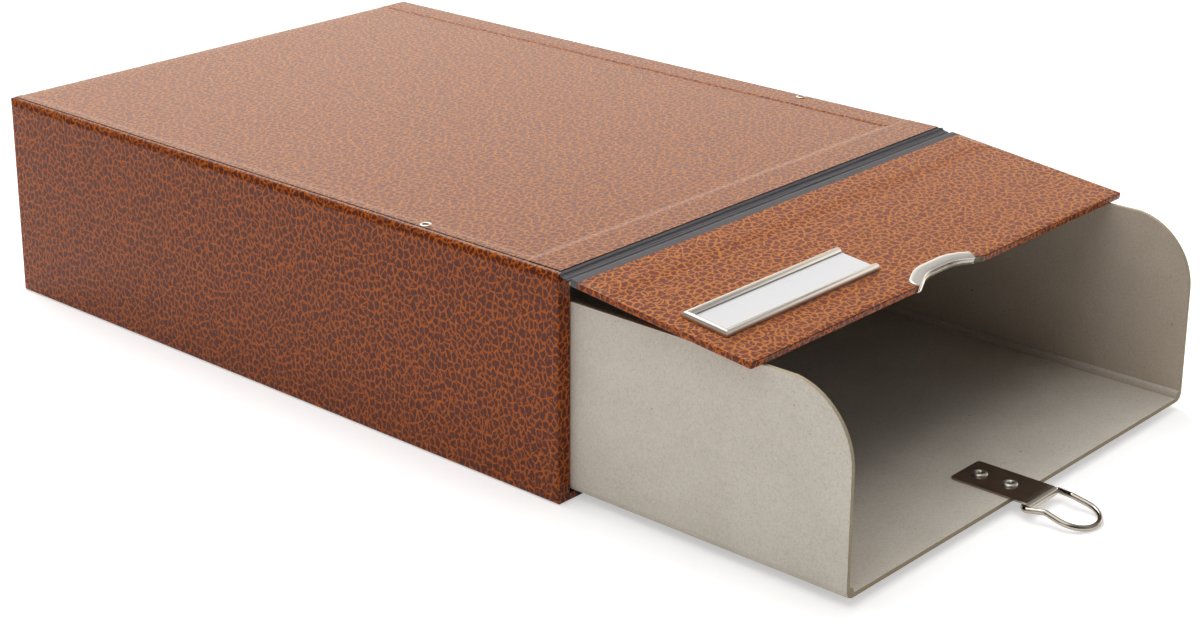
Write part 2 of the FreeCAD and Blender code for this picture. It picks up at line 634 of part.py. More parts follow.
def drawer_tray():
    """Floor and side walls folded from one board, with crease beads in the corners."""
    middle = DRAWER_BOARD / 2.0
    half = TRAY_HALF - middle
    low = TRAY_UNDER + middle
    bend = FOLD_RADIUS - middle
    path = [V(0, half, TRAY_TOP), V(0, half, low), V(0, -half, low), V(0, -half, TRAY_TOP)]
    section = strip_outline(path, [0, bend, bend, 0], DRAWER_BOARD)
    section.rotate(V(0, 0, 0), V(0, 0, 1), 90)
    section.translate(V(0, TRAY_FRONT, 0))
    tray = section.extrude(V(0, TRAY_BACK - TRAY_FRONT, 0))
    start = TRAY_BACK - BACK_FLANGE - BACK_FOLD_RADIUS
    for side in (-1, 1):
        corner = V(side * (TRAY_HALF - DRAWER_BOARD), TRAY_FRONT, TRAY_FLOOR)
        bead = Part.makeCylinder(BEAD_RADIUS, start - TRAY_FRONT, corner, V(0, 1, 0))
        inner = TRAY_HALF - DRAWER_BOARD - BEAD_RADIUS - CUT
        low_x, high_x = sorted((side * (TRAY_HALF - middle), side * inner))
        keep = block(low_x, high_x, TRAY_FRONT, start, TRAY_UNDER + middle, TRAY_TOP)
        bead = bead.common(keep)
        tray = tray.fuse(bead)
    return tray.common(wall_silhouette()).removeSplitter()


def wall_silhouette():
    """Side view of the walls: straight top, big front arc, upright front edge."""
    rise = math.sqrt(FRONT_ARC_RADIUS ** 2 - (FRONT_ARC_RADIUS - FRONT_ARC_END) ** 2)
    arc_low = TRAY_TOP - rise
    centre = yz(TRAY_FRONT + FRONT_ARC_RADIUS, arc_low)
    start = yz(TRAY_FRONT + FRONT_ARC_END, TRAY_TOP)
    end = yz(TRAY_FRONT, arc_low)
    half_way = ((start - centre) + (end - centre)).normalize() * FRONT_ARC_RADIUS + centre
    edges = [
        Part.LineSegment(yz(TRAY_BACK, TRAY_TOP), start).toShape(),
        Part.Arc(start, half_way, end).toShape(),
        Part.LineSegment(end, yz(TRAY_FRONT, TRAY_UNDER)).toShape(),
        Part.LineSegment(yz(TRAY_FRONT, TRAY_UNDER), yz(TRAY_BACK, TRAY_UNDER)).toShape(),
        Part.LineSegment(yz(TRAY_BACK, TRAY_UNDER), yz(TRAY_BACK, TRAY_TOP)).toShape(),
    ]
    return along_x(Part.Face(Part.Wire(edges)), -HALF, HALF)


def drawer_back():
    """Back wall with a flange folded forward along each side wall."""
    middle = DRAWER_BOARD / 2.0
    inner = TRAY_HALF - DRAWER_BOARD
    half = inner - middle
    wall = TRAY_BACK - middle
    tip = TRAY_BACK - BACK_FLANGE
    bottom = TRAY_FLOOR + BEAD_RADIUS
    top = TRAY_TOP - BACK_TOP_DROP
    bend = BACK_FOLD_RADIUS - middle
    path = [V(0, half, tip), V(0, half, wall), V(0, -half, wall), V(0, -half, tip)]
    section = strip_outline(path, [0, bend, bend, 0], DRAWER_BOARD)
    plan = section.copy()
    plan.rotate(V(0, 0, 0), V(0, 0, 1), 90)
    plan.rotate(V(0, 0, 0), V(1, 0, 0), -90)
    plan.translate(V(0, 0, bottom))
    walls = plan.extrude(V(0, 0, top - bottom))
    foot_half = inner - FOLD_RADIUS
    foot = block(-foot_half, foot_half, TRAY_BACK - DRAWER_BOARD, TRAY_BACK, TRAY_FLOOR, bottom)
    return join([walls, foot])


def stitch_places():
    """Side, setback and height of the stitches that hold each flange."""
    y = TRAY_BACK - STITCH_SETBACK
    heights = (TRAY_UNDER + STITCH_LOW, TRAY_TOP - STITCH_HIGH)
    return [(side, y, z) for side in (-1, 1) for z in heights]


def stitch_legs(side, y, z, reach):
    """The two legs of a stitch, from the flange's face outwards by reach."""
    inner = side * (TRAY_HALF - 2 * DRAWER_BOARD)
    low, high = sorted((inner, inner + side * reach))
    start = y - STITCH_LENGTH / 2.0
    end = y + STITCH_LENGTH / 2.0
    legs = []
    for near, far in ((start, start + STITCH_WIRE), (end - STITCH_WIRE, end)):
        legs.append(block(low, high, near, far, z - STITCH_HEIGHT / 2.0, z + STITCH_HEIGHT / 2.0))
    return legs


def stitch(side, y, z):
    """Wire stitch: crown on the flange, legs clenched flush with the wall's outer face."""
    inner = side * (TRAY_HALF - 2 * DRAWER_BOARD)
    low, high = sorted((inner, inner - side * STITCH_WIRE))
    crown = block(low, high, y - STITCH_LENGTH / 2.0, y + STITCH_LENGTH / 2.0, z - STITCH_HEIGHT / 2.0,
                  z + STITCH_HEIGHT / 2.0)
    return join([crown] + stitch_legs(side, y, z, 2 * DRAWER_BOARD))


# ---- pull ----

def strap_rivet_places():
    """The two rivets on the strap's centre line."""
    front = KNUCKLE_Y + RIVET_FRONT
    return [(PULL_CENTRE, front), (PULL_CENTRE, front + RIVET_SPACING)]


def strap_rivet_hole(x, y):
    """Hole for a strap rivet's barrel through strap and floor."""
    depth = STRAP_METAL + DRAWER_BOARD + 2 * CUT
    return Part.makeCylinder(RIVET_BARREL_RADIUS, depth, V(x, y, TRAY_UNDER - CUT))


def pull_strap():
    """Strap on the drawer floor with its front end rolled into a knuckle."""
    half = STRAP_WIDTH / 2.0
    back = KNUCKLE_Y + STRAP_LENGTH
    left = PULL_CENTRE - half
    right = PULL_CENTRE + half
    plate = outline([V(left, KNUCKLE_Y, TRAY_FLOOR), V(right, KNUCKLE_Y, TRAY_FLOOR),
                     V(right, back, TRAY_FLOOR), V(left, back, TRAY_FLOOR)],
                    [0, 0, STRAP_CORNER_RADIUS, STRAP_CORNER_RADIUS]).extrude(V(0, 0, STRAP_METAL))
    axis_start = V(left, KNUCKLE_Y, KNUCKLE_Z)
    roll = Part.makeCylinder(KNUCKLE_RADIUS, STRAP_WIDTH, axis_start, V(1, 0, 0))
    bore = Part.makeCylinder(KNUCKLE_BORE, STRAP_WIDTH, axis_start, V(1, 0, 0))
    slit = block(left, right, KNUCKLE_Y, KNUCKLE_Y + KNUCKLE_RADIUS + CUT,
                 TRAY_FLOOR - KNUCKLE_SLIT, TRAY_FLOOR)
    strap = plate.fuse(roll).cut(bore).cut(slit)
    for place in strap_rivet_places():
        strap = strap.cut(strap_rivet_hole(*place))
    return strap.removeSplitter()


def pull_ring():
    """Wire ring: a bar through the knuckle, a narrow neck, cranked shoulders and a round end."""
    neck = STRAP_WIDTH / 2.0 + RING_SIDE_GAP + WIRE_RADIUS
    fall = math.atan2(KNUCKLE_Z + RING_NECK_RISE - WIRE_RADIUS, RING_LENGTH - RING_NECK)

    def place(x, forward):
        if forward <= RING_NECK:
            height = RING_NECK_RISE * forward / RING_NECK
        else:
            height = RING_NECK_RISE - (forward - RING_NECK) * math.tan(fall)
        return V(PULL_CENTRE + x, KNUCKLE_Y - forward, KNUCKLE_Z + height)

    start = place(0, 0)
    right = [place(neck, 0), place(RING_SHOULDER_HALF, RING_NECK), place(RING_BODY_HALF, RING_LENGTH)]
    left = [place(-RING_BODY_HALF, RING_LENGTH), place(-RING_SHOULDER_HALF, RING_NECK), place(-neck, 0)]
    points = [start] + right + left + [start]
    flare = math.atan2(RING_BODY_HALF - RING_SHOULDER_HALF, RING_LENGTH - RING_NECK)
    end_bend = (RING_BODY_HALF - RING_END_FLAT / 2.0) / math.tan((math.pi / 2.0 + flare) / 2.0)
    path = Part.Wire(rounded_edges(points, [0, 0, 0, end_bend, end_bend, 0, 0, 0], False))
    section = Part.Wire(Part.Circle(start, V(1, 0, 0), WIRE_RADIUS).toShape())
    return path.makePipeShell([section], True, False, MITRED)


def main():
    """Make every node and write it."""
    os.makedirs("parts", exist_ok=True)
    core = case_envelope(0)
    shell = case_envelope(PAPER).cut(core)
    nodes = case_boards(core)
    nodes["case_left_paper"] = side_paper(shell, -1, LEFT_LAP)
    nodes["case_right_paper"] = side_paper(shell, 1, RIGHT_LAP)
    nodes["case_top_paper"] = top_paper(shell)
    nodes["case_back_paper"] = back_paper(shell)
    nodes["case_under_sheet"] = under_sheet()
    nodes["case_lining"] = case_lining()
    eyelets = []
    for x, y in eyelet_places():
        eyelets.append(tubular_rivet(x, y, CASE_HEIGHT, EYELET_FLANGE_RADIUS, EYELET_FLANGE_HEIGHT,
                                     EYELET_BARREL_RADIUS, EYELET_BORE_RADIUS, EYELET_LENGTH))
        for name in ("case_top_board", "case_left_panel", "case_right_panel", "case_top_paper",
                     "case_left_paper", "case_right_paper"):
            nodes[name] = nodes[name].cut(eyelet_hole(x, y))
    nodes["case_eyelets"] = Part.makeCompound(eyelets)
    nodes["hinge_cloth_case"] = case_cloth()

    notch = notch_tool(0, LINED_UNDER - CUT, PAPER_TOP + CUT)
    board = flap_board()
    paper = flap_paper(board).cut(notch)
    board = board.cut(notch)
    for x, y in prong_places():
        board = board.cut(prong_slot(x, y))
        paper = paper.cut(prong_slot(x, y))
    nodes["flap_board"] = let_down(board)
    nodes["flap_paper"] = let_down(paper)
    nodes["flap_lining"] = let_down(flap_lining().cut(notch))
    nodes["hinge_cloth_flap"] = let_down(flap_cloth())
    nodes["thumb_clip"] = let_down(thumb_clip())
    nodes["label_holder"] = let_down(label_holder())
    nodes["label_card"] = let_down(label_card())

    tray = drawer_tray()
    wall = drawer_back()
    for place in stitch_places():
        for slot in stitch_legs(*place, 2 * DRAWER_BOARD + CUT):
            tray = tray.cut(slot)
            wall = wall.cut(slot)
    for place in strap_rivet_places():
        tray = tray.cut(strap_rivet_hole(*place))
    nodes["drawer_tray"] = tray
    nodes["drawer_back"] = wall
    nodes["drawer_back_stitches"] = Part.makeCompound([stitch(*place) for place in stitch_places()])
    nodes["pull_strap"] = pull_strap()
    length = STRAP_METAL + DRAWER_BOARD
    nodes["pull_strap_rivets"] = Part.makeCompound(
        [tubular_rivet(x, y, STRAP_TOP, RIVET_FLANGE_RADIUS, RIVET_FLANGE_HEIGHT, RIVET_BARREL_RADIUS,
                       RIVET_BORE_RADIUS, length) for x, y in strap_rivet_places()])
    nodes["pull_ring"] = pull_ring()
    for name, shape in nodes.items():
        write(name, shape)


main()
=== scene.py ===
import math

import bmesh
import bpy
from mathutils import Matrix, Vector, noise


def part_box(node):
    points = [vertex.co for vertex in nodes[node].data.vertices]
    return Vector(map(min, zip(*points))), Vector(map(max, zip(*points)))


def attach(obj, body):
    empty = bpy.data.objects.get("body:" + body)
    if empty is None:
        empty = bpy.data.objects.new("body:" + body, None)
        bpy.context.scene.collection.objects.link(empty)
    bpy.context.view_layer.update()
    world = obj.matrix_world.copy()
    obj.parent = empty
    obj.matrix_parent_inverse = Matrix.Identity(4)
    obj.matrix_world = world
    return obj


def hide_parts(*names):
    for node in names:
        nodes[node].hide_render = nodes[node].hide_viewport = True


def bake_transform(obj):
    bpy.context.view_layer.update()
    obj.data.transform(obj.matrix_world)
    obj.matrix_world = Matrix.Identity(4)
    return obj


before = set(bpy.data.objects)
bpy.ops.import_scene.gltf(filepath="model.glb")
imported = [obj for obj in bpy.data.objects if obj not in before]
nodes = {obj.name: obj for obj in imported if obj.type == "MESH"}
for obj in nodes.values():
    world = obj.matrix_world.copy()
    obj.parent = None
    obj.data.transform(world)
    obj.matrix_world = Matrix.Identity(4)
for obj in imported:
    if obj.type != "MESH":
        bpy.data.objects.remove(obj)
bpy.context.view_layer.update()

MM = 0.001                       # lengths below are in millimetres unless said otherwise

# ---- places and sizes taken over from the part ----
HALF = 127.5                     # case's side faces
FRONT = -174.0                   # mouth of the case
BACK = 174.0
CORE_TOP = 95.5                  # case's top board
TOP_EDGE = 2.0                   # radius of the long top edges and the back edges
PAPER = 0.25
CLOTH = 0.4
HINGE = Vector((0.0, -177.2, 93.45))
DROOP = math.radians(6.265)      # flap's slope at rest
FLAP_REACH = 89.4                # hinge line to the flap's free edge
NOTCH_X = -1.4                   # middle of the thumb notch
PULL_X = -4.4                    # middle of the strap and the ring
KNUCKLE = Vector((PULL_X, -312.8, 3.9))
STRAP_TOP = 6.0


# ---------------------------------------------------------------- materials

class Nodes:
    """A node tree, with short calls that add to it."""

    def __init__(self, tree):
        self.tree = tree

    def node(self, kind, settings=None, **inputs):
        made = self.tree.nodes.new(kind)
        for key, value in (settings or {}).items():
            setattr(made, key, value)
        for key, value in inputs.items():
            self.feed(made.inputs[key.replace("_", " ")], value)
        return made

    def feed(self, socket, value):
        if isinstance(value, bpy.types.NodeSocket):
            self.tree.links.new(value, socket)
        else:
            socket.default_value = value

    def fed(self, kind, settings, *values):
        """Node whose first inputs take the values in order."""
        made = self.node(kind, settings)
        for socket, value in zip(made.inputs, values):
            self.feed(socket, value)
        return made

    def vector(self, operation, a, b):
        made = self.fed("ShaderNodeVectorMath", {"operation": operation}, a, b)
        return made.outputs["Value" if operation == "DOT_PRODUCT" else "Vector"]

    def sum(self, operation, a, b=0.0):
        return self.fed("ShaderNodeMath", {"operation": operation}, a, b).outputs[0]

    def product(self, first, *others):
        for other in others:
            first = self.sum("MULTIPLY", first, other)
        return first

    def rise(self, value, low, high, bottom=0.0, top=1.0):
        """Smooth step of value from bottom to top between low and high."""
        made = self.node("ShaderNodeMapRange", {"interpolation_type": "SMOOTHSTEP"}, Value=value,
                         From_Min=low, From_Max=high, To_Min=bottom, To_Max=top)
        return made.outputs["Result"]

    def split(self, vector):
        return self.node("ShaderNodeSeparateXYZ", None, Vector=vector).outputs


class Paint(Nodes):
    """A material; its places are in millimetres on the part at rest."""

    def __init__(self, name, roughness=0.5, metallic=0.0, specular=0.5):
        self.material = bpy.data.materials.new(name)
        self.material.use_nodes = True
        super().__init__(self.material.node_tree)
        self.shader = self.tree.nodes["Principled BSDF"]
        self.shader.inputs["Roughness"].default_value = roughness
        self.shader.inputs["Metallic"].default_value = metallic
        self.shader.inputs["Specular IOR Level"].default_value = specular
        coords = self.node("ShaderNodeTexCoord").outputs
        self.place = self.vector("MULTIPLY", coords["Object"], (1 / MM,) * 3)
        self.facing = coords["Normal"]

    def noise(self, place, size, detail=2.0, roughness=0.5):
        made = self.node("ShaderNodeTexNoise", None, Vector=place, Scale=1.0 / size, Detail=detail,
                         Roughness=roughness)
        return made.outputs["Fac"]

    def shift(self, place, size, amount):
        """Place moved about by a noise of that size."""
        made = self.node("ShaderNodeTexNoise", None, Vector=place, Scale=1.0 / size, Detail=1.0)
        centred = self.vector("SUBTRACT", made.outputs["Color"], (0.5,) * 3)
        return self.vector("ADD", place, self.vector("MULTIPLY", centred, (2.0 * amount,) * 3))

    def moved(self, place, step):
        """Place moved by a fixed step, so that a second noise differs from the first."""
        return self.vector("ADD", place, step)

    def cracks(self, place, size):
        """Distance to the nearest edge of a flat network of cells of that size, in cells."""
        settings = {"feature": "DISTANCE_TO_EDGE", "voronoi_dimensions": "2D"}
        made = self.node("ShaderNodeTexVoronoi", settings, Vector=place, Scale=1.0 / size)
        return made.outputs["Distance"]

    def unwrapped(self, stretch):
        """Place on a sheet wrapped round the box: its first way runs over the top and down
        the sides."""
        x, y, z = self.split(self.place)
        _, ny, nz = self.split(self.facing)
        level = self.sum("GREATER_THAN", self.sum("ABSOLUTE", nz), 0.7)
        endways = self.sum("GREATER_THAN", self.sum("ABSOLUTE", ny), 0.7)
        girth = self.sum("ADD", self.product(self.sum("SUBTRACT", x, z), level), z)
        length = self.sum("ADD", self.product(self.sum("SUBTRACT", x, y), endways), y)
        made = self.node("ShaderNodeCombineXYZ", None, X=self.product(girth, stretch), Y=length)
        return made.outputs[0]

    def mix(self, share, a, b):
        made = self.node("ShaderNodeMix", {"data_type": "RGBA"})
        self.feed(made.inputs[0], share)
        for socket, colour in zip(made.inputs[6:8], (a, b)):
            if not isinstance(colour, bpy.types.NodeSocket):
                colour = (*colour, 1.0)
            self.feed(socket, colour)
        return made.outputs[2]

    def colour(self, value):
        self.feed(self.shader.inputs["Base Color"], value)

    def gloss(self, value):
        self.feed(self.shader.inputs["Roughness"], value)

    def bump(self, height, depth, before=None):
        """Bump of a height from 0 to 1 over that depth in millimetres."""
        made = self.node("ShaderNodeBump", None, Height=height, Distance=depth * MM, Strength=1.0)
        if before is not None:
            self.feed(made.inputs["Normal"], before)
        self.feed(self.shader.inputs["Normal"], made.outputs["Normal"])
        return made.outputs["Normal"]


# Printed leather: each colour has two shades, mixed by a noise. Faces that look upwards take paler,
# greyer copies of the colours: painted sheen.
BLOTCHES_BESIDE = ((0.125, 0.028, 0.015), (0.088, 0.020, 0.010))
BLOTCHES_WITH_PAINTED_SHEEN = ((0.178, 0.049, 0.032), (0.135, 0.037, 0.024))
VEINS_BESIDE = ((0.40, 0.084, 0.003), (0.50, 0.112, 0.005))
VEINS_WITH_PAINTED_SHEEN = ((0.40, 0.135, 0.018), (0.47, 0.160, 0.025))
VEIN_CELL = 2.9                  # size of the net's cells
FINE_CELL = 1.75                 # size of the finer net that shows here and there
VEIN_PATCH = 1.8                 # size of the patches in which veins thin out or branch
THINNEST_VEIN, WIDEST_VEIN = 0.11, 0.22          # in cells, from the middle to one side
FLAP_PAINTED_LIGHT = 0.19                 # painted light: how much lighter the flap's paper is painted than the case's
PRESSED_FROM, PRESSED_TO = 91.6, 94.9            # heights of the pressed facet under the top edges
SHADED_EDGE_FACING = (0.0, -0.72, 0.69)                 # way the flap's rounded free edge faces; paper that faces so is painted darker, as painted shade
CASE_FROM, CASE_TO = -177.0, -176.0              # the flap's paper lies in front, the case's behind


def leather_paper():
    """Printed leather pattern: a net of light veins round dark blotches, on satin paper."""
    paint = Paint("printed_leather_paper", roughness=0.36, specular=0.17)
    flat = paint.unwrapped(0.8)
    net = paint.shift(paint.shift(flat, 3.4, 1.1), 1.3, 0.55)
    width = paint.rise(paint.noise(flat, VEIN_PATCH), 0.3, 0.7, THINNEST_VEIN, WIDEST_VEIN)
    veins = paint.rise(paint.cracks(net, VEIN_CELL), paint.product(width, 0.25), width, 1.0, 0.0)
    elsewhere = paint.moved(flat, (7.0, 3.0, 0.0))
    veins = paint.product(veins, paint.rise(paint.noise(elsewhere, 1.5, detail=1.0), 0.33, 0.40))
    fine_net = paint.cracks(paint.moved(net, (31.0, 17.0, 0.0)), FINE_CELL)
    fine = paint.rise(fine_net, 0.05, 0.18, 0.75, 0.0)
    branches = paint.rise(paint.noise(flat, VEIN_PATCH, detail=1.0), 0.54, 0.62)
    pattern = paint.sum("MAXIMUM", veins, paint.product(fine, branches))

    cores = paint.rise(paint.noise(net, 1.3), 0.35, 0.7)
    cloudy = paint.rise(paint.noise(paint.place, 4.0, detail=4.0), 0.3, 0.7)
    upward = paint.rise(paint.split(paint.facing)[2], 0.55, 0.95)
    # Painted sheen: where the paper faces upwards, its blotches and veins take the paler, greyer
    # copies.
    blotch = paint.mix(cores, *(paint.mix(upward, beside, on_top)
                                for beside, on_top in zip(BLOTCHES_BESIDE, BLOTCHES_WITH_PAINTED_SHEEN)))
    vein = paint.mix(cloudy, *(paint.mix(upward, beside, on_top)
                               for beside, on_top in zip(VEINS_BESIDE, VEINS_WITH_PAINTED_SHEEN)))

    x, y, z = paint.split(paint.place)
    case = paint.rise(y, CASE_FROM, CASE_TO)
    from_edge = paint.sum("SUBTRACT", paint.sum("ABSOLUTE", x), HALF - TOP_EDGE)
    # A dark line is painted along the top paper's long edges: partly the paper's dark cut edge,
    # partly painted shadow that this edge casts.
    dark_edge_and_shadow = paint.rise(paint.sum("ABSOLUTE", from_edge), 0.15, 0.4, 0.35, 1.0)
    off_top = paint.sum("SUBTRACT", 1.0, paint.product(upward, case))
    # Painted light and shade: the dark line on the case's top, and the flap's paper painted lighter
    # than the case's.
    painted_shading = paint.product(paint.sum("MAXIMUM", dark_edge_and_shadow, off_top),
                         paint.sum("SUBTRACT", 1.0 + FLAP_PAINTED_LIGHT, paint.product(case, FLAP_PAINTED_LIGHT)))
    # Painted shade: the flap's paper is darkened to 0.3 on its rounded free edge.
    towards_shaded_edge = paint.vector("DOT_PRODUCT", paint.facing, SHADED_EDGE_FACING)
    shaded_edge = paint.rise(towards_shaded_edge, 0.84, 0.95, 1.0, 0.3)
    painted_shading = paint.product(painted_shading, paint.sum("MAXIMUM", shaded_edge, case))
    paint.colour(paint.vector("MULTIPLY", paint.mix(pattern, blotch, vein), painted_shading))
    paint.gloss(paint.rise(pattern, 0.0, 1.0, 0.27, 0.32))

    pressed = paint.product(paint.rise(z, PRESSED_FROM, PRESSED_TO, 1.0, 0.0), case)
    fibre = paint.noise(paint.place, 0.35, detail=3.0)
    paint.bump(fibre, 0.008, paint.bump(pattern, 0.02, paint.bump(pressed, 0.9)))
    return paint.material


def board(name, light, dark, inner_painted_shade=(1.0, 1.0, 1.0)):
    """Grey board: cloudy pulp with fine light and dark flecks and brown fibres; walls that face
    inwards are painted darker and browner, as painted shade."""
    paint = Paint(name, roughness=0.85, specular=0.25)
    cloud = paint.rise(paint.noise(paint.place, 22.0, detail=5.0, roughness=0.6), 0.3, 0.7)
    base = paint.mix(cloud, dark, light)
    speck = paint.noise(paint.place, 0.8, detail=4.0, roughness=0.75)
    darker = tuple(0.72 * c for c in dark)
    lighter = tuple(min(1.0, 1.12 * c) for c in light)
    fleck = 0.6
    grain = paint.mix(paint.rise(speck, 0.5, 0.68, 0.0, fleck), base, darker)
    grain = paint.mix(paint.rise(speck, 0.32, 0.5, fleck, 0.0), grain, lighter)
    dots = paint.node("ShaderNodeTexVoronoi", {"feature": "F1"}, Scale=1.0 / 11.0,
                      Vector=paint.shift(paint.place, 1.6, 1.4))
    fibre = paint.rise(dots.outputs["Distance"], 0.025, 0.055, 0.7, 0.0)
    grain = paint.mix(fibre, grain, (0.22, 0.17, 0.12))
    outward = paint.product(paint.split(paint.place)[0], paint.split(paint.facing)[0])
    # Painted shade: faces that look in towards the middle take the darker, browner colour.
    painted_shade = paint.mix(paint.rise(outward, -100.0, -50.0, 1.0, 0.0), (1.0, 1.0, 1.0), inner_painted_shade)
    paint.colour(paint.vector("MULTIPLY", grain, painted_shade))
    paint.bump(speck, 0.04)
    return paint.material


def raw_edge(name, dark, light):
    """Cut edge of grey board: browner and rougher than its face."""
    paint = Paint(name, roughness=0.95, specular=0.1)
    grain = paint.noise(paint.place, 0.5, detail=4.0)
    paint.colour(paint.mix(paint.rise(grain, 0.3, 0.7), dark, light))
    paint.bump(grain, 0.12)
    return paint.material


def black_paper():
    """Matt black lining paper with a warm cast."""
    paint = Paint("black_lining_paper", roughness=0.7, specular=0.3)
    grain = paint.noise(paint.place, 0.6, detail=4.0)
    paint.colour(paint.mix(grain, (0.012, 0.010, 0.009), (0.026, 0.021, 0.018)))
    paint.bump(grain, 0.03)
    return paint.material


THREAD_PITCH = 0.55
THREAD_WAYS = ((1.0, 0.0, 0.0), (0.0, 0.85, 0.53))


def bookcloth():
    """Dark grey embossed bookcloth: a fine thread grid under a dull coating."""
    paint = Paint("hinge_bookcloth", roughness=0.6, specular=0.4)
    threads = []
    for way in THREAD_WAYS:
        along = paint.vector("DOT_PRODUCT", paint.shift(paint.place, 3.0, 0.12), way)
        wave = paint.sum("SINE", paint.product(along, 2.0 * math.pi / THREAD_PITCH))
        threads.append(paint.rise(wave, -1.0, 1.0))
    weave = paint.product(*threads)
    speck = paint.noise(paint.place, 0.75, detail=4.0)
    rough = paint.sum("ADD", paint.product(weave, 0.5), paint.product(speck, 0.5))
    worn = paint.rise(rough, 0.2, 0.65)
    paint.colour(paint.mix(worn, (0.036, 0.033, 0.037), (0.118, 0.111, 0.121)))
    paint.bump(rough, 0.08)
    return paint.material


# Lighter steel on the strap's knuckle: partly rubbing wear, partly painted reflection.
RUBBED_AND_LIT_STEEL = (0.54, 0.49, 0.42)
RUBBED_AND_LIT_FROM = KNUCKLE.y + 2.5      # in front of this line, on its knuckle, the strap is painted lighter: partly rubbed bright, partly painted reflection of the white floor
RUBBED_AND_LIT_BLEND = 2.0


def metal(name, dark, light, smooth, rough, worn=False):
    """Rolled or plated metal with clouding and faint rubbing marks."""
    paint = Paint(name, roughness=smooth, metallic=1.0)
    plain = paint.mix(paint.noise(paint.place, 3.0, detail=4.0), dark, light)
    # The knuckle takes the lighter steel: partly rubbing wear, partly painted reflection of the
    # floor.
    if worn:
        y = paint.split(paint.place)[1]
        rubbed_and_lit = paint.rise(y, RUBBED_AND_LIT_FROM - RUBBED_AND_LIT_BLEND, RUBBED_AND_LIT_FROM, 1.0, 0.0)
        plain = paint.mix(rubbed_and_lit, plain, RUBBED_AND_LIT_STEEL)
    paint.colour(plain)
    marks = paint.noise(paint.vector("MULTIPLY", paint.place, (0.3, 3.0, 3.0)), 0.4, detail=2.0)
    paint.gloss(paint.rise(marks, 0.3, 0.8, smooth, rough))
    return paint.material


def white_card():
    """Uncoated white card."""
    paint = Paint("white_card", roughness=0.6, specular=0.3)
    fibre = paint.noise(paint.place, 0.8, detail=4.0)
    paint.colour(paint.mix(fibre, (0.68, 0.675, 0.68), (0.72, 0.715, 0.72)))
    paint.bump(fibre, 0.01)
    return paint.material


LEATHER = leather_paper()
CASE_BOARD = board("case_grey_board", (0.36, 0.32, 0.25), (0.29, 0.25, 0.19))
# The drawer's inward walls are painted darker and browner: painted shade.
DRAWER_BOARD = board("drawer_grey_board", (0.73, 0.67, 0.585), (0.68, 0.62, 0.535),
                     inner_painted_shade=(0.86, 0.80, 0.74))
RAW_EDGE = raw_edge("raw_case_edge", (0.28, 0.22, 0.14), (0.42, 0.34, 0.22))
DRAWER_EDGE = raw_edge("raw_drawer_edge", (0.36, 0.29, 0.19), (0.50, 0.42, 0.30))
PAPER_CUT = raw_edge("paper_cut_edge", (0.05, 0.022, 0.012), (0.10, 0.045, 0.025))
BLACK = black_paper()
BOOKCLOTH = bookcloth()
NICKEL = metal("nickel_plate", (0.46, 0.41, 0.35), (0.62, 0.57, 0.50), 0.08, 0.15)
SATIN = metal("satin_nickel", (0.60, 0.565, 0.51), (0.66, 0.625, 0.57), 0.34, 0.36)
WIRE_NICKEL = metal("nickel_wire", (0.36, 0.315, 0.26), (0.50, 0.45, 0.385), 0.10, 0.18)
POLISHED = metal("polished_nickel", (0.68, 0.655, 0.62), (0.73, 0.705, 0.67), 0.34, 0.36)
# Its knuckle is painted lighter: partly wear, partly painted reflection.
BRONZED = metal("bronzed_steel", (0.30, 0.25, 0.205), (0.40, 0.345, 0.29), 0.14, 0.24, worn=True)
CARD = white_card()

FINISHES = {"cover_paper": LEATHER, "grey_board": CASE_BOARD, "drawer_board": DRAWER_BOARD,
            "black_paper": BLACK, "bookcloth": BOOKCLOTH, "nickel": NICKEL,
            "bronzed_steel": BRONZED, "white_card": CARD}
for node in nodes.values():
    for place in node.material_slots:
        place.material = FINISHES[place.material.name.split(".")[0]]


# ---------------------------------------------------------------- mesh helpers

def piece(name, points, faces, finish, body, stands_for=(), sharp=35.0, slot=None):
    """Mesh object from points in millimetres, shaded smooth except at sharp edges."""
    mesh = bpy.data.meshes.new(name)
    mesh.from_pydata([Vector(p) * MM for p in points], [], faces)
    made = bpy.data.objects.new(name, mesh)
    bpy.context.scene.collection.objects.link(made)
    mesh.materials.append(finish)
    work = bmesh.new()
    work.from_mesh(mesh)
    bmesh.ops.remove_doubles(work, verts=work.verts, dist=0.0005 * MM)
    bmesh.ops.recalc_face_normals(work, faces=work.faces)
    shade(work, sharp)
    work.to_mesh(mesh)
    work.free()
    if body:
        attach(made, body)
    if stands_for:
        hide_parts(*stands_for)
    return made


def shade(work, sharp):
    """Smooth shading up to that angle in degrees."""
    for face in work.faces:
        face.smooth = True
    for edge in work.edges:
        edge.smooth = edge.calc_face_angle(0.0) < math.radians(sharp)


def on_flap(x, out, rise):
    """Place on the let-down flap from its x, distance from the hinge line and rise above it."""
    y = -out * math.cos(DROOP) - rise * math.sin(DROOP)
    z = -out * math.sin(DROOP) + rise * math.cos(DROOP)
    return Vector((x, HINGE.y + y, HINGE.z + z))


def smooth_path(points, steps):
    """Catmull-Rom line through points."""
    line = []
    padded = [points[0]] + list(points) + [points[-1]]
    for a, b, c, d in zip(padded, padded[1:], padded[2:], padded[3:]):
        for i in range(steps):
            t = i / steps
            line.append(0.5 * ((2 * b) + (c - a) * t + (2 * a - 5 * b + 4 * c - d) * t * t
                               + (3 * b - a - 3 * c + d) * t ** 3))
    line.append(points[-1])
    return line


def direction(line, i):
    """Way that an open line runs at one of its points."""
    return (line[min(i + 1, len(line) - 1)] - line[max(i - 1, 0)]).normalized()


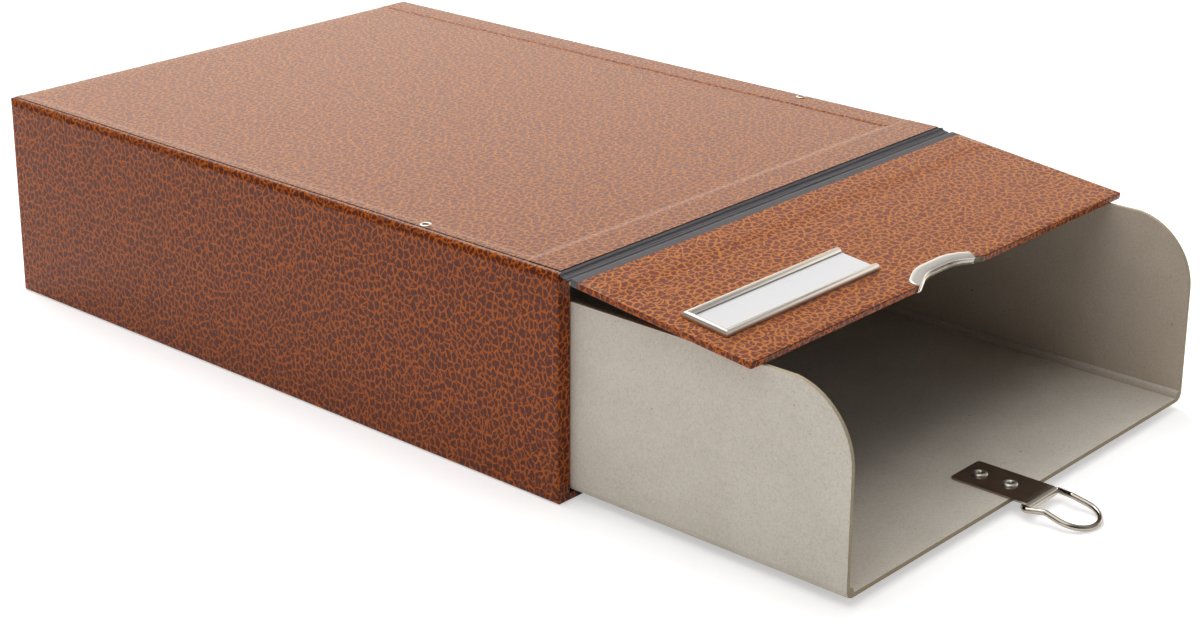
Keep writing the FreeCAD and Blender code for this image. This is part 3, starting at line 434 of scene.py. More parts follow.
def ring_tube(path, radius, sides):
    """Points and faces of a round tube along a closed path."""
    count = len(path)
    normal = Vector((0.0, 0.0, 1.0))
    points, faces = [], []
    for i, centre in enumerate(path):
        tangent = (path[(i + 1) % count] - path[i - 1]).normalized()
        normal = (normal - tangent * normal.dot(tangent)).normalized()
        across = tangent.cross(normal)
        following = (i + 1) % count
        for k in range(sides):
            turn = 2 * math.pi * k / sides
            points.append(centre + (normal * math.cos(turn) + across * math.sin(turn)) * radius)
            beside = (k + 1) % sides
            faces.append((i * sides + k, i * sides + beside,
                          following * sides + beside, following * sides + k))
    return points, faces


# ---------------------------------------------------------------- sheets

def ease(value, low, high):
    """Smooth step of value from 0 to 1 between low and high."""
    t = min(1.0, max(0.0, (value - low) / (high - low)))
    return t * t * (3.0 - 2.0 * t)


def lines(low, high, pitch, fine=()):
    """Grid lines between two limits: evenly spaced, and closer together inside each fine span."""
    def spread(start, end, step):
        count = max(1, round((end - start) / step))
        return [start + (end - start) * i / count for i in range(count + 1)]

    places = spread(low, high, pitch)
    for start, end, step in fine:
        places = [p for p in places if not start - 0.3 < p < end + 0.3] + spread(start, end, step)
    return sorted(places)


def grid(rows):
    """Points and faces of a sheet given as equally long rows of points."""
    width = len(rows[0])
    faces = []
    for i in range(len(rows) - 1):
        for k in range(width - 1):
            a = i * width + k
            faces.append((a, a + 1, a + width + 1, a + width))
    return [p for row in rows for p in row], faces


def together(*sheets):
    """Points and faces of several sheets as one list."""
    points, faces = [], []
    for more_points, more_faces in sheets:
        start = len(points)
        points.extend(more_points)
        faces.extend(tuple(start + i for i in face) for face in more_faces)
    return points, faces


def thicken(made, thickness, inside, rim=0):
    """Turn a sheet's faces away from a place inside it and give it its thickness on that side."""
    work = bmesh.new()
    work.from_mesh(made.data)
    largest = max(work.faces, key=lambda f: f.calc_area())
    if largest.normal.dot(largest.calc_center_median() - Vector(inside) * MM) < 0:
        bmesh.ops.reverse_faces(work, faces=work.faces)
    work.to_mesh(made.data)
    work.free()
    solid = made.modifiers.new("thickness", "SOLIDIFY")
    solid.thickness = thickness * MM
    solid.offset = -1.0
    solid.use_even_offset = True
    solid.material_offset_rim = rim
    split = made.modifiers.new("corners", "EDGE_SPLIT")
    split.split_angle = math.radians(40.0)


# ---------------------------------------------------------------- case top

LEFT_LAP = -122.5                # hidden edge of the left side paper on the top
RIGHT_LAP = 112.0
LEFT_STEP, RIGHT_STEP, CLOTH_STEP = 2.4, 2.6, 4.0    # run of the soft step at each hidden edge
CLOTH_TAIL = -158.0              # hidden edge of the hinge cloth on the top
BACK_SEAM = 83.0                 # lower edge of the top paper on the back
SIDE_SEAM = 112.5                # edge of the side papers' turns on the back
TOP_PITCH = 7.0
BACK_LEVELS = (95.0, 91.0, 87.0, BACK_SEAM)


def top_height(x, y):
    """Height of the top paper: the side laps and the cloth under it show as soft steps."""
    wander = 0.35 * noise.noise(Vector((x, y, 3.0)) * 0.05)
    laps = ease(-x + wander, -LEFT_LAP - LEFT_STEP, -LEFT_LAP)
    laps += ease(x + wander, RIGHT_LAP - RIGHT_STEP, RIGHT_LAP)
    cloth = ease(-y + wander, -CLOTH_TAIL - CLOTH_STEP, -CLOTH_TAIL)
    wave = 0.035 * noise.noise(Vector((x, y, 30.0)) * 0.018)
    settled = ease(HALF - TOP_EDGE - abs(x), 0.0, 12.0) * ease(BACK - TOP_EDGE - y, 0.0, 12.0)
    return CORE_TOP + PAPER + max(PAPER * laps, CLOTH * cloth) + wave * settled


def top_sheet():
    edge = HALF - TOP_EDGE
    bend = BACK - TOP_EDGE
    xs = lines(-edge, edge, TOP_PITCH, [(LEFT_LAP, -119.8, 0.3), (-SIDE_SEAM, -SIDE_SEAM, 1.0),
                                        (109.1, RIGHT_LAP, 0.3)])
    ys = lines(FRONT + CLOTH, bend, TOP_PITCH, [(CLOTH_TAIL - 0.6, CLOTH_TAIL + 4.4, 0.4)])
    flat = grid([[(x, y, top_height(x, y)) for x in xs] for y in ys])
    between = [x for x in xs if LEFT_LAP <= x <= RIGHT_LAP]
    turns = [math.pi / 12 * i for i in range(7)]
    bent = grid([[(x, bend + TOP_EDGE * math.sin(t),
                   top_height(x, bend) - TOP_EDGE * (1 - math.cos(t))) for x in between]
                 for t in turns])
    middle = [x for x in xs if -SIDE_SEAM <= x <= RIGHT_LAP]
    down = grid([[(x, BACK, min(z, top_height(x, bend) - TOP_EDGE)) for x in middle]
                 for z in BACK_LEVELS])
    made = piece("case_top_sheet", *together(flat, bent, down), LEATHER, None, slot="cover_paper")
    made.data.materials.append(PAPER_CUT)
    thicken(made, PAPER, (0.0, 0.0, 50.0), 1)
    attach(made, "case")
    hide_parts("case_top_paper")


# ---------------------------------------------------------------- flap paper

PAPER_TOP = 1.7                  # face of the flap's paper above the hinge line
PAPER_UNDER = -1.0
FLAP_PAPER_START = 6.8           # hinge line to the paper's edge on the cloth
FLAP_CLOTH_END = 17.4
FLAP_TURN = 12.0                 # paper's turn on to the underside
FLAP_EDGE = 0.45                 # radius of the flap's long edges
FLAP_CORNER = 1.2
NOTCH_DEPTH = 6.3
NOTCH_FLAT = 10.0                # half of the notch's straight bottom
NOTCH_MOUTH = 23.0               # half of the notch's mouth
NOTCH_BEND = 20.0
FLAP_SIDE = HALF - 1.0           # outermost grid lines of the flap's face
FLAP_ROWS = lines(FLAP_PAPER_START + 4.0, FLAP_REACH - 4.0, 5.0, [(16.6, 26.6, 0.7)])
FLAP_COLUMNS = lines(-FLAP_SIDE, FLAP_SIDE, 6.0,
                     [(-FLAP_SIDE, -HALF + 4.2, 0.5), (HALF - 4.2, FLAP_SIDE, 0.5)])


def filleted(points, radii, steps=8):
    """Line through points whose corners are rounded by circular arcs."""
    line = []
    for i, corner in enumerate(points):
        radius = radii[i]
        if radius == 0.0:
            line.append(corner)
            continue
        into = (corner - points[i - 1]).normalized()
        out = (points[(i + 1) % len(points)] - corner).normalized()
        half_turn = into.angle(out) / 2.0
        start = corner - into * radius * math.tan(half_turn)
        end = corner + out * radius * math.tan(half_turn)
        weight = math.cos(half_turn)
        for k in range(steps + 1):
            t = k / steps
            a, b, c = (1 - t) ** 2, 2 * weight * t * (1 - t), t ** 2
            line.append((start * a + corner * b + end * c) / (a + b + c))
    return line


def notch_line():
    """Points (x, distance from the hinge line) along the thumb notch, left to right."""
    deep = FLAP_REACH - NOTCH_DEPTH
    corners = [(-NOTCH_MOUTH, FLAP_REACH), (-NOTCH_FLAT, deep), (NOTCH_FLAT, deep),
               (NOTCH_MOUTH, FLAP_REACH)]
    corners = [Vector((NOTCH_X + x, u, 0.0)) for x, u in corners]
    return filleted(corners, [0.0, NOTCH_BEND, NOTCH_BEND, 0.0])


def flap_outline():
    """Flap's plan from the left rear corner round the free edge to the right rear corner."""
    left = [Vector((-HALF, FLAP_PAPER_START, 0.0)), Vector((-HALF, FLAP_REACH, 0.0)),
            Vector((NOTCH_X - NOTCH_MOUTH, FLAP_REACH, 0.0))]
    right = [Vector((NOTCH_X + NOTCH_MOUTH, FLAP_REACH, 0.0)), Vector((HALF, FLAP_REACH, 0.0)),
             Vector((HALF, FLAP_PAPER_START, 0.0))]
    radii = [0.0, FLAP_CORNER, 0.0]
    line = filleted(left, radii)[:-1] + notch_line() + filleted(right, radii)[1:]
    dense = []
    for a, b in zip(line, line[1:]):
        shares = {0.0}
        for axis, places in enumerate((FLAP_COLUMNS, FLAP_ROWS)):
            if abs(b[axis] - a[axis]) > 4.0:
                shares.update((p - a[axis]) / (b[axis] - a[axis]) for p in places)
        dense.extend(a.lerp(b, t) for t in sorted(shares) if 0.0 <= t < 1.0)
    return dense + [line[-1]]


def inset(line, distance):
    """Line moved towards the flap's middle by a distance; its two ends slide along the rear."""
    moved = []
    for i, point in enumerate(line):
        normals = []
        for a, b in ((i - 1, i), (i, i + 1)):
            if a >= 0 and b < len(line):
                run = (line[b] - line[a]).normalized()
                normals.append(Vector((run.y, -run.x, 0.0)))
        mitre = sum(normals, Vector()).normalized()
        moved.append(point + mitre * distance / max(0.4, mitre.dot(normals[0])))
    moved[0].y = line[0].y
    moved[-1].y = line[-1].y
    return moved


def flap_height(x, out):
    """Height of the flap's paper over the cloth's hidden end."""
    wander = 0.8 * noise.noise(Vector((x, 7.0, 1.0)) * 0.08)
    over = ease(FLAP_CLOTH_END + 8.0 - out + wander, 0.0, 8.0) * ease(HALF - abs(x), 0.8, 4.0)
    wave = 0.04 * noise.noise(Vector((x, out, 11.0)) * 0.03)
    inner = ease(min(HALF - abs(x), FLAP_REACH - out), 1.0, 10.0)
    return PAPER_TOP + 0.3 * over + wave * inner


def flap_rim(outline):
    """Rounded long edges of the flap's paper and its turn on to the underside."""
    rows = []
    for level, way, turns in ((PAPER_TOP, -1, (0, 1, 2, 3)), (PAPER_UNDER, 1, (3, 2, 1, 0))):
        for k in turns:
            turn = math.pi / 6 * k
            distance = FLAP_EDGE * (1 - math.sin(turn))
            height = level + way * FLAP_EDGE * (1 - math.cos(turn))
            rows.append([on_flap(p.x, p.y, height) for p in inset(outline, distance)])
    side, far = HALF - FLAP_TURN, FLAP_REACH - FLAP_TURN
    rows.append([on_flap(max(-side, min(side, p.x)), min(p.y, far), PAPER_UNDER) for p in outline])
    return grid(rows)


def add_flap_face(work, outline):
    """Cut the flap's plan into cells and add it to the mesh at the paper's height."""
    face = bmesh.new()
    face.faces.new([face.verts.new((p.x, p.y, 0.0)) for p in inset(outline, FLAP_EDGE)])
    for places, way in ((FLAP_COLUMNS, (1.0, 0.0, 0.0)), (FLAP_ROWS, (0.0, 1.0, 0.0))):
        for place in places:
            bmesh.ops.bisect_plane(face, geom=face.verts[:] + face.edges[:] + face.faces[:],
                                   dist=1e-4, plane_co=Vector(way) * place, plane_no=way)
    points = {}
    for vert in face.verts:
        x, out, _ = vert.co
        points[vert] = work.verts.new(on_flap(x, out, flap_height(x, out)) * MM)
    for cell in face.faces:
        work.faces.new([points[v] for v in cell.verts])
    face.free()


def flap_sheet():
    outline = flap_outline()
    made = piece("flap_sheet", *flap_rim(outline), LEATHER, None, slot="cover_paper")
    work = bmesh.new()
    work.from_mesh(made.data)
    add_flap_face(work, outline)
    bmesh.ops.remove_doubles(work, verts=work.verts, dist=0.02 * MM)
    work.normal_update()
    level = Matrix.Rotation(-DROOP, 3, "X")
    for face in work.faces:
        middle = face.calc_center_median() / MM
        core = on_flap(max(-120.0, min(120.0, middle.x)), min(80.0, HINGE.y - middle.y), 0.35)
        if face.normal.dot(middle - core) < 0.0:
            face.normal_flip()
        in_notch = abs(middle.x - NOTCH_X) < NOTCH_MOUTH - 0.2 and middle.y < HINGE.y - 70.0
        upright = abs((face.normal @ level).z) < 0.5
        face.material_index = 1 if in_notch and upright else 0
    shade(work, 40.0)
    work.to_mesh(made.data)
    work.free()
    made.data.materials.append(RAW_EDGE)
    thicken(made, PAPER, on_flap(0.0, 45.0, 0.0))
    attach(made, "flap")
    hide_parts("flap_paper")


# ---------------------------------------------------------------- hinge cloth

CLOTH_MIDDLE = CORE_TOP + CLOTH / 2              # level of the cloth's middle on the top board
CLOTH_ON_CASE = ((-158.2, 0.0), (-166.0, 0.0), (-171.6, 0.0), (-173.2, 0.02), (-173.8, 0.2),
                 (-174.3, 0.37), (-174.9, 0.45), (-175.3, 0.88), (-175.7, 1.28), (-176.3, 1.42),
                 (-177.0, 1.5))                  # y, and how far the cloth's middle has come down
CLOTH_ON_FLAP = ((0.4, 0.7), (0.8, 0.5), (1.3, 0.45), (1.9, 0.8), (2.6, 1.3), (3.4, 1.6),
                 (4.3, 1.66), (6.8, 1.63), (8.5, 1.53), (12.0, 1.53),
                 (17.3, 1.53))                   # from the hinge line, and above it
CREASES = ((3.0, 0.08, 0.3), (2.0, -0.12, 0.3), (0.9, 0.12, 0.35), (0.2, -0.1, 0.3),
           (-0.3, 0.06, 0.4))                    # behind the hinge line, height, width
TURN_STATIONS = (3.3, 4.2, 5.0, 5.9, 6.9)        # turns over the flap board's rear side edges
TURN_SECTION = ((-1.25, 1.86), (-0.75, 1.84), (-0.35, 1.68), (-0.1, 1.4), (0.0, 0.9), (0.0, 0.0),
                (0.0, -0.6), (-0.12, -0.95))     # past the side face, above the hinge line
SIDE_MARGIN = 0.3                # cloth's sides stay back from the case's


def cloth_lift(x, y):
    """Puckers and creases of the cloth in the groove."""
    from_hinge = y - HINGE.y
    in_groove = 1.0 - ease(abs(from_hinge), 0.6, 3.4)
    pucker = noise.noise(Vector((x * 0.05, y * 0.8, 2.0)))
    fine = noise.noise(Vector((x * 0.22, y * 1.6, 9.0)))
    wander = 0.35 * noise.noise(Vector((x * 0.025, 4.0, 0.0)))
    wander += 0.12 * noise.noise(Vector((x * 0.2, 8.0, 0.0)))
    creases = 0.0
    for place, depth, wide in CREASES:
        uneven = 0.8 + 1.2 * noise.noise(Vector((x * 0.03, place * 1.7, 5.0)))
        creases += depth * uneven * math.exp(-((from_hinge - place - wander) / wide) ** 2)
    return in_groove * (0.12 * pucker + 0.04 * fine) + creases


def cloth_reach(y):
    """Half of the cloth's width: full in the groove, less on the top board and on the flap."""
    on_top = ease(y, FRONT - 0.4, FRONT + 0.2)
    on_flap_board = ease(HINGE.y - y, 2.6, 3.6)
    return HALF - SIDE_MARGIN - (TOP_EDGE - SIDE_MARGIN) * on_top - 0.9 * on_flap_board


def hinge_cloth():
    """Cloth from its tail on the case, through the groove, to its end on the flap."""
    control = [Vector((0.0, y, CLOTH_MIDDLE - drop)) for y, drop in CLOTH_ON_CASE]
    control += [on_flap(0.0, out, rise) for out, rise in CLOTH_ON_FLAP]
    centre = smooth_path(control, 5)
    columns = lines(-1.0, 1.0, 0.012)
    rows = []
    for i, point in enumerate(centre):
        run = direction(centre, i)
        normal = Vector((0.0, run.z, -run.y))
        row = []
        for t in columns:
            x = cloth_reach(point.y) * t
            lift = CLOTH / 2 + cloth_lift(x, point.y)
            row.append(Vector((x, point.y, point.z)) + normal * lift)
        rows.append(row)
    made = piece("hinge_cloth", *grid(rows), BOOKCLOTH, None, slot="bookcloth", sharp=60.0)
    sides = []
    for side in (-1, 1):
        sides.append(grid([[on_flap(side * (HALF + past), out, rise) for past, rise in TURN_SECTION]
                           for out in TURN_STATIONS]))
    piece("hinge_cloth_turns", *together(*sides), BOOKCLOTH, "flap", slot="bookcloth")
    thicken(made, CLOTH, (0.0, -165.0, 80.0))
    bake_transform(made)
    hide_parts("hinge_cloth_case", "hinge_cloth_flap")


# ---------------------------------------------------------------- pull

STRAP_HALF = 10.25
STRAP_METAL = 0.8
STRAP_BACK = -278.5
STRAP_CORNER = 1.5
STRAP_STATIONS = (0.0, 0.1, 0.3, 0.7, 1.1, 1.5, 6.0, 12.0, 18.0, 24.0, 30.0, 33.0)   # from its back
STRAP_COLUMNS = (-1.0, -0.8, -0.4, 0.0, 0.4, 0.8, 1.0)
ROLL = 1.7                       # knuckle's radius to the middle of its sheet
ROLL_STEPS, ROLL_STEP = 25, 12.2                 # degrees
WIRE = 1.18
RING_NECK, RING_LENGTH = 8.6, 25.0               # knuckle's axis to the shoulders and to the tip
RING_RISE = 0.75                 # shoulders above the axis
RING_POINTS = ((12.1, 0.0), (9.9, RING_NECK), (11.0, RING_LENGTH))
RING_BENDS = (1.5, 2.0, 9.9)


def ring_place(x, forward):
    """Place on the ring as it lies: a little up to the shoulders, then down to the table."""
    if forward <= RING_NECK:
        height = RING_RISE * forward / RING_NECK
    else:
        fall = (KNUCKLE.z + RING_RISE - WIRE) / (RING_LENGTH - RING_NECK)
        height = RING_RISE - (forward - RING_NECK) * fall
    return Vector((PULL_X + x, KNUCKLE.y - forward, KNUCKLE.z + height))


def pull_ring():
    right = [ring_place(x, f) for x, f in RING_POINTS]
    left = [ring_place(-x, f) for x, f in reversed(RING_POINTS)]
    path = filleted(right + left, RING_BENDS + RING_BENDS[::-1], 10)
    points, faces = ring_tube(path, WIRE, 20)
    piece("pull_ring_wire", points, faces, WIRE_NICKEL, "pull_ring", ("pull_ring",), 60.0, "nickel")


def pull_strap():
    """Strap's sheet from its rounded back end along the drawer's floor and round the knuckle."""
    middle = STRAP_TOP - STRAP_METAL / 2
    centre = [Vector((0.0, STRAP_BACK - back, middle)) for back in STRAP_STATIONS]
    for k in range(ROLL_STEPS):
        turn = math.radians(90.0 + ROLL_STEP * k)
        y, z = ROLL * math.cos(turn), ROLL * math.sin(turn)
        centre.append(Vector((0.0, KNUCKLE.y + y, KNUCKLE.z + z)))
    rows = []
    for i, point in enumerate(centre):
        run = direction(centre, i)
        normal = Vector((0.0, run.z, -run.y))
        from_corner = max(0.0, STRAP_CORNER - (STRAP_BACK - point.y))
        half = STRAP_HALF - (STRAP_CORNER - math.sqrt(STRAP_CORNER ** 2 - from_corner ** 2))
        rows.append([Vector((PULL_X + half * t, point.y, point.z)) + normal * STRAP_METAL / 2
                     for t in STRAP_COLUMNS])
    made = piece("pull_strap_sheet", *grid(rows), BRONZED, None, slot="bronzed_steel")
    thicken(made, STRAP_METAL, (PULL_X, -295.0, 0.0))
    soften = made.modifiers.new("edge", "BEVEL")
    soften.width = 0.16 * MM
    soften.segments = 2
    soften.limit_method = "ANGLE"
    soften.angle_limit = math.radians(50.0)
    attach(made, "drawer")
    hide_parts("pull_strap")


# ---------------------------------------------------------------- rivets and eyelets

RIVET_PLACES = [(PULL_X, KNUCKLE.y + back, STRAP_TOP) for back in (13.4, 27.1)]
EYELET_PLACES = [(x, -99.0, 96.0) for x in (-122.9, 122.9)]


def rivet_profile(flange, rise, barrel, bore, length):
    """Closed profile of a hollow rivet with a rolled flange."""
    middle = (flange + bore) / 2
    half = (flange - bore) / 2
    profile = [(barrel, 0.0), (barrel, -length), (bore, -length)]
    for k in range(9):
        turn = math.pi * k / 8
        radius = middle + half * math.cos(math.pi - turn)
        profile.append((radius, rise * (0.25 + 0.75 * math.sin(turn))))
    return profile + [(flange, 0.0), (barrel, 0.0)]


def rivets(name, places, profile, body, stands_for):
    """Rivets or eyelets turned from one profile of (radius, height) at several places."""
    sides = 40
    sheets = []
    for x, y, z in places:
        rows = []
        for k in range(sides + 1):
            across, along = math.cos(2 * math.pi * k / sides), math.sin(2 * math.pi * k / sides)
            rows.append([(x + r * across, y + r * along, z + h) for r, h in profile])
        sheets.append(grid(rows))
    piece(name, *together(*sheets), SATIN, body, (stands_for,), 40.0, "nickel")


# ---------------------------------------------------------------- thumb clip

CLIP_METAL = 0.4
CLIP_FLANGE = 4.6
CLIP_END_FLANGE = 0.9            # flange left at the rounded left end
CLIP_LEFT_ROUND, CLIP_RIGHT_ROUND = 5.0, 0.6
CLIP_BEND = 0.55                 # where the flange begins to roll over, inside the notch's edge
CLIP_LIP = 0.85                  # how far the rolled lips stand out from the notch
CLIP_ROUND = 0.42
CLIP_STEP = 0.6
CLIP_LEFT = NOTCH_X - 23.0
CLIP_RIGHT = NOTCH_X + 18.4
CLIP_WALL = ((-0.8, 1.4), (-0.62, 0.9), (-0.42, 0.35), (-0.27, -0.15), (-0.22, -0.55),
             (-0.42, -0.8))
CLIP_SHADED_HOLLOW = (-1.0, 1.5)        # heights above the hinge line between the two lips; faces there take the darker nickel, as painted shade


def clip_section(reach):
    """Channel's section for one flange width: inside the notch's edge, above the hinge line."""
    top = PAPER_TOP + CLIP_METAL
    low = PAPER_UNDER - CLIP_METAL
    turns = [math.pi / 8 * k for k in range(5)]
    outward = [CLIP_BEND - (CLIP_BEND + CLIP_LIP) * math.sin(t) for t in turns]
    curl = [CLIP_ROUND * (1 - math.cos(t)) for t in turns]
    section = [(reach, PAPER_TOP + 0.02), (reach - 0.1, top - 0.12), (reach - 0.3, top),
               (reach * 0.6, top + 0.03), (CLIP_BEND, top)]
    section += [(outward[k], top - curl[k]) for k in (1, 2, 3, 4)]
    section += CLIP_WALL
    section += [(outward[k], low + curl[k]) for k in (4, 3, 2, 1, 0)]
    return section + [(reach - 0.3, low), (reach, PAPER_UNDER - 0.05)]


def clip_reach(left, right):
    """Width of the clip's flange at a distance from its left and its right end."""
    reach = CLIP_FLANGE
    if left < CLIP_LEFT_ROUND:
        share = math.sqrt(max(0.0, 1 - ((CLIP_LEFT_ROUND - left) / CLIP_LEFT_ROUND) ** 2))
        reach = CLIP_END_FLANGE + (CLIP_FLANGE - CLIP_END_FLANGE) * share
    if right < CLIP_RIGHT_ROUND:
        depth = CLIP_RIGHT_ROUND - right
        reach -= CLIP_RIGHT_ROUND - math.sqrt(CLIP_RIGHT_ROUND ** 2 - depth ** 2)
    return reach


def thumb_clip():
    """Sheet channel rolled round the notch's edge, painted darker in its hollow as painted shade.
    """
    edge = notch_line()
    dense = []
    for a, b in zip(edge, edge[1:]):
        count = max(1, math.ceil((b - a).length / CLIP_STEP))
        dense.extend(a.lerp(b, i / count) for i in range(count))
    dense = [p for p in dense + [edge[-1]] if CLIP_LEFT <= p.x <= CLIP_RIGHT]
    travelled = [0.0]
    for a, b in zip(dense, dense[1:]):
        travelled.append(travelled[-1] + (b - a).length)
    rows = []
    for i, point in enumerate(dense):
        run = direction(dense, i)
        inward = Vector((run.y, -run.x, 0.0))
        row = []
        for offset, height in clip_section(clip_reach(travelled[i], travelled[-1] - travelled[i])):
            place = point + inward * offset
            row.append(on_flap(place.x, min(place.y, FLAP_REACH - 0.05), height))
        rows.append(row)
    made = piece("thumb_clip_channel", *grid(rows), POLISHED, None, slot="nickel", sharp=70.0)
    # Painted shade: faces in the hollow between the lips take the darker nickel.
    made.data.materials.append(NICKEL)
    above = Vector((0.0, -math.sin(DROOP), math.cos(DROOP)))
    low, high = CLIP_SHADED_HOLLOW
    for face in made.data.polygons:
        face.material_index = 1 if low < (face.center / MM - HINGE).dot(above) < high else 0
    thicken(made, 0.3, on_flap(0.0, 80.0, 0.3))
    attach(made, "flap")
    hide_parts("thumb_clip")


# ---------------------------------------------------------------- label holder

HOLDER_LEFT = -HALF + 8.5
HOLDER_RIGHT = -HALF + 102.8
HOLDER_NEAR = 49.8               # hinge line to the holder
HOLDER_FAR = 71.2
HOLDER_METAL = 0.4
PLATE_MARGIN = 1.8               # plate's edge under the rails
RAIL = ((0.15, 0.0), (0.0, 0.3), (0.0, 1.25), (0.12, 1.75), (0.42, 2.2), (0.9, 2.5), (1.5, 2.6),
        (2.1, 2.46), (2.6, 2.15), (3.0, 1.75), (3.2, 1.45), (3.08, 1.32), (2.1, 1.28), (2.05, 0.9),
        (2.05, 0.0), (0.15, 0.0))
RAIL_MIDDLE = 1.6
RAIL_ENDS = ((0.0, 0.78), (0.2, 0.93), (0.6, 1.0))   # behind the open end, share of the section


def label_holder():
    """Holder's plate and its rolled rail round three sides, mitred at the two left corners."""
    stations = [(HOLDER_RIGHT - back, HOLDER_NEAR, 0, 1, size) for back, size in RAIL_ENDS]
    stations += [(HOLDER_LEFT, HOLDER_NEAR, 1, 1, 1.0), (HOLDER_LEFT, HOLDER_FAR, 1, -1, 1.0)]
    stations += [(HOLDER_RIGHT - back, HOLDER_FAR, 0, -1, size) for back, size in RAIL_ENDS[::-1]]
    rows = []
    for x, out, dx, dout, size in stations:
        row = []
        for inward, height in RAIL:
            inward = RAIL_MIDDLE + (inward - RAIL_MIDDLE) * size
            row.append(on_flap(x + dx * inward, out + dout * inward, PAPER_TOP + height * size))
        rows.append(row)
    points, faces = grid(rows)
    last = len(points) - len(RAIL)
    faces.append(tuple(range(len(RAIL) - 1)))
    faces.append(tuple(last + i for i in reversed(range(len(RAIL) - 1))))
    left, near = HOLDER_LEFT + PLATE_MARGIN, HOLDER_NEAR + PLATE_MARGIN
    right, far = HOLDER_RIGHT, HOLDER_FAR - PLATE_MARGIN
    plate = [on_flap(x, out, PAPER_TOP + height) for height in (0.0, HOLDER_METAL)
             for x, out in ((left, near), (right, near), (right, far), (left, far))]
    sides = [(0, 1, 2, 3), (4, 7, 6, 5)]
    sides += [(i, i + 4, (i + 1) % 4 + 4, (i + 1) % 4) for i in range(4)]
    piece("label_holder_frame", *together((points, faces), (plate, sides)), SATIN, "flap",
          ("label_holder",), 40.0, "nickel")


# ---------------------------------------------------------------- drawer

WALL_RIM = 30.0                  # the walls' cut edges lie within this below their tops


def drawer_tray():
    """Drawer board as it is in the part, with its cut edges bared and softened."""
    made = bpy.data.objects.new("drawer_tray_board", nodes["drawer_tray"].data.copy())
    bpy.context.scene.collection.objects.link(made)
    made.data.materials.clear()
    made.data.materials.append(DRAWER_BOARD)
    made.data.materials.append(DRAWER_EDGE)
    work = bmesh.new()
    work.from_mesh(made.data)
    bmesh.ops.remove_doubles(work, verts=work.verts, dist=1e-6)
    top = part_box("drawer_tray")[1].z / MM
    for face in work.faces:
        normal = face.normal
        lengthways = abs(normal.x) < 0.35
        rim = face.calc_center_median().z / MM > top - WALL_RIM and normal.z > -0.2
        end = abs(normal.y) > 0.9
        face.material_index = 1 if lengthways and (rim or end) else 0
    shade(work, 30.0)
    work.to_mesh(made.data)
    work.free()
    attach(made, "drawer")
    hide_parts("drawer_tray")


top_sheet()
flap_sheet()
hinge_cloth()
pull_ring()
pull_strap()
rivets("strap_rivets", RIVET_PLACES, rivet_profile(3.2, 0.95, 1.5, 1.0, 2.6), "drawer",
       "pull_strap_rivets")
rivets("case_top_eyelets", EYELET_PLACES, rivet_profile(2.5, 0.45, 1.5, 1.4, 8.0), "case",
       "case_eyelets")
thumb_clip()
label_holder()
drawer_tray()


# ---------------------------------------------------------------- stage, light and camera

CAMERA_PLACE = Vector((-0.7349191, -0.7317233, 0.4039672))       # metres
CAMERA_AZIMUTH = math.radians(-48.01327)
CAMERA_ELEVATION = math.radians(18.46964)
CAMERA_ROLL = math.radians(0.16459)
FOCAL_PIXELS = 2355.32
CENTRE_PIXEL = (580.0, 190.0)
PHOTO = (1200.0, 621.0)


def make_camera():
    data = bpy.data.cameras.new("camera")
    data.sensor_width = 36.0
    data.lens = FOCAL_PIXELS / PHOTO[0] * data.sensor_width
    data.shift_x = (PHOTO[0] / 2 - CENTRE_PIXEL[0]) / PHOTO[0]
    data.shift_y = (CENTRE_PIXEL[1] - PHOTO[1] / 2) / PHOTO[0]
    camera = bpy.data.objects.new("camera", data)
    a, e = CAMERA_AZIMUTH, CAMERA_ELEVATION
    back = Vector((math.sin(a) * math.cos(e), -math.cos(a) * math.cos(e), math.sin(e)))
    right = Vector((math.cos(a), math.sin(a), 0.0))
    up = back.cross(right)
    c, s = math.cos(CAMERA_ROLL), math.sin(CAMERA_ROLL)
    right, up = right * c + up * s, up * c - right * s
    turned = Matrix((right, up, back)).transposed().to_4x4()
    camera.matrix_world = Matrix.Translation(CAMERA_PLACE) @ turned
    bpy.context.scene.collection.objects.link(camera)
    bpy.context.scene.camera = camera


LAMP_PLACE, LAMP_AIM = Vector((0.45, 1.28, 1.9)), Vector((0.0, -0.1, 0.0))     # metres
LAMP_SIZE = 1.6                  # metres
LAMP_WATTS = 38.0


def make_lamp():
    """Large soft lamp behind the box, which lets its shadow fall towards the camera."""
    data = bpy.data.lights.new("key", "AREA")
    data.shape = "SQUARE"
    data.size = LAMP_SIZE
    data.energy = LAMP_WATTS
    lamp = bpy.data.objects.new("key", data)
    lamp.location = LAMP_PLACE
    lamp.rotation_euler = (LAMP_AIM - LAMP_PLACE).to_track_quat("-Z", "Y").to_euler()
    bpy.context.scene.collection.objects.link(lamp)


BACKDROP_LIGHT = 2.02
BACKDROP_COLOUR = (1.0, 0.94, 0.86, 1.0)
OVERHEAD_LIGHT = 2.05
LEFT_LIGHT = 2.25
FRONT_LIGHT = 0.5
WHITE = (1.0, 1.0, 1.0, 1.0)


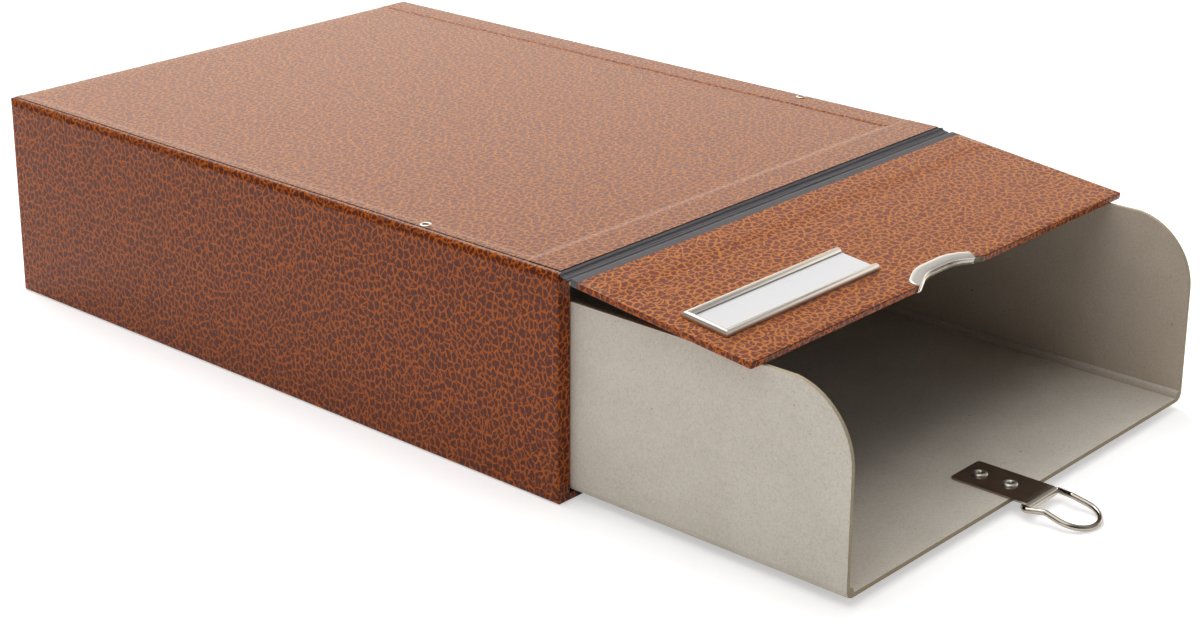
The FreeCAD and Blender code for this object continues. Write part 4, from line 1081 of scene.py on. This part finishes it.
def make_world():
    """Studio seen by direction: a warm backdrop low down behind on the right, light from overhead
    and from the left, little from the front; plain white to the camera."""
    world = bpy.data.worlds.new("studio")
    world.use_nodes = True
    bpy.context.scene.world = world
    world.node_tree.nodes.clear()
    sky = Nodes(world.node_tree)
    across, depth, height = sky.split(sky.node("ShaderNodeTexCoord").outputs["Generated"])

    behind = sky.rise(sky.sum("ADD", sky.product(across, 0.74), sky.product(depth, 0.67)), 0.0, 0.6)
    low = sky.product(sky.rise(height, 0.31, 0.43, 1.0, 0.0),
                      sky.rise(height, 0.18, 0.36, 0.76, 1.08))
    backdrop = sky.product(behind, low, BACKDROP_LIGHT)

    right_front = sky.sum("SUBTRACT", across, sky.product(depth, 0.7))
    overhead = sky.product(sky.rise(height, 0.5, 0.85, 0.0, OVERHEAD_LIGHT),
                           sky.rise(right_front, 0.15, 0.45, 1.0, 0.35),
                           sky.rise(depth, -0.5, -0.1))
    square = sky.product(sky.rise(depth, 0.2, 0.55, 1.0, 0.12),
                         sky.rise(depth, -0.5, -0.1, 0.12, 1.0))
    leftward = sky.product(sky.rise(across, -0.9, -0.3, LEFT_LIGHT, 0.0), square,
                           sky.rise(height, 0.08, 0.34, 1.0, 0.05))
    front = sky.sum("SUBTRACT", sky.product(across, 0.6), sky.product(depth, 0.75))
    frontward = sky.rise(front, 0.2, 0.9, 0.05, FRONT_LIGHT)
    strength = sky.sum("ADD", overhead, sky.sum("ADD", leftward, frontward))

    light = sky.node("ShaderNodeBackground", None, Strength=strength)
    glow = sky.node("ShaderNodeBackground", None, Color=BACKDROP_COLOUR, Strength=backdrop)
    studio = sky.fed("ShaderNodeAddShader", None, light.outputs[0], glow.outputs[0])
    white = sky.node("ShaderNodeBackground", None, Color=WHITE)
    seen = sky.node("ShaderNodeLightPath").outputs["Is Camera Ray"]
    shown = sky.fed("ShaderNodeMixShader", None, seen, studio.outputs[0], white.outputs[0])
    sky.node("ShaderNodeOutputWorld", None, Surface=shown.outputs[0])


FLOOR_SIZE = 6.0                 # metres, from the middle to each side
FLOOR_LIFT = 0.44                # brings the lit floor up to white where it is seen


def make_floor():
    """White sweep of paper that still takes the object's shadow."""
    corners = [(x * FLOOR_SIZE, y * FLOOR_SIZE, 0) for x, y in ((-1, -1), (1, -1), (1, 1), (-1, 1))]
    mesh = bpy.data.meshes.new("floor")
    mesh.from_pydata(corners, [], [(0, 1, 2, 3)])
    floor = bpy.data.objects.new("floor", mesh)
    bpy.context.scene.collection.objects.link(floor)
    paint = Paint("white_floor", roughness=0.9, specular=0.1)
    paint.colour(paint.mix(paint.noise(paint.place, 8.0), (0.80,) * 3, (0.82,) * 3))
    rays = paint.node("ShaderNodeLightPath").outputs
    seen = rays["Is Camera Ray"]
    for kind in ("Is Glossy Ray", "Is Transmission Ray"):
        seen = paint.sum("MAXIMUM", seen, rays[kind])
    paint.feed(paint.shader.inputs["Emission Color"], WHITE)
    paint.feed(paint.shader.inputs["Emission Strength"], paint.product(seen, FLOOR_LIFT))
    mesh.materials.append(paint.material)


make_camera()
make_lamp()
make_world()
make_floor()

scene = bpy.context.scene
scene.view_settings.view_transform = "Standard"
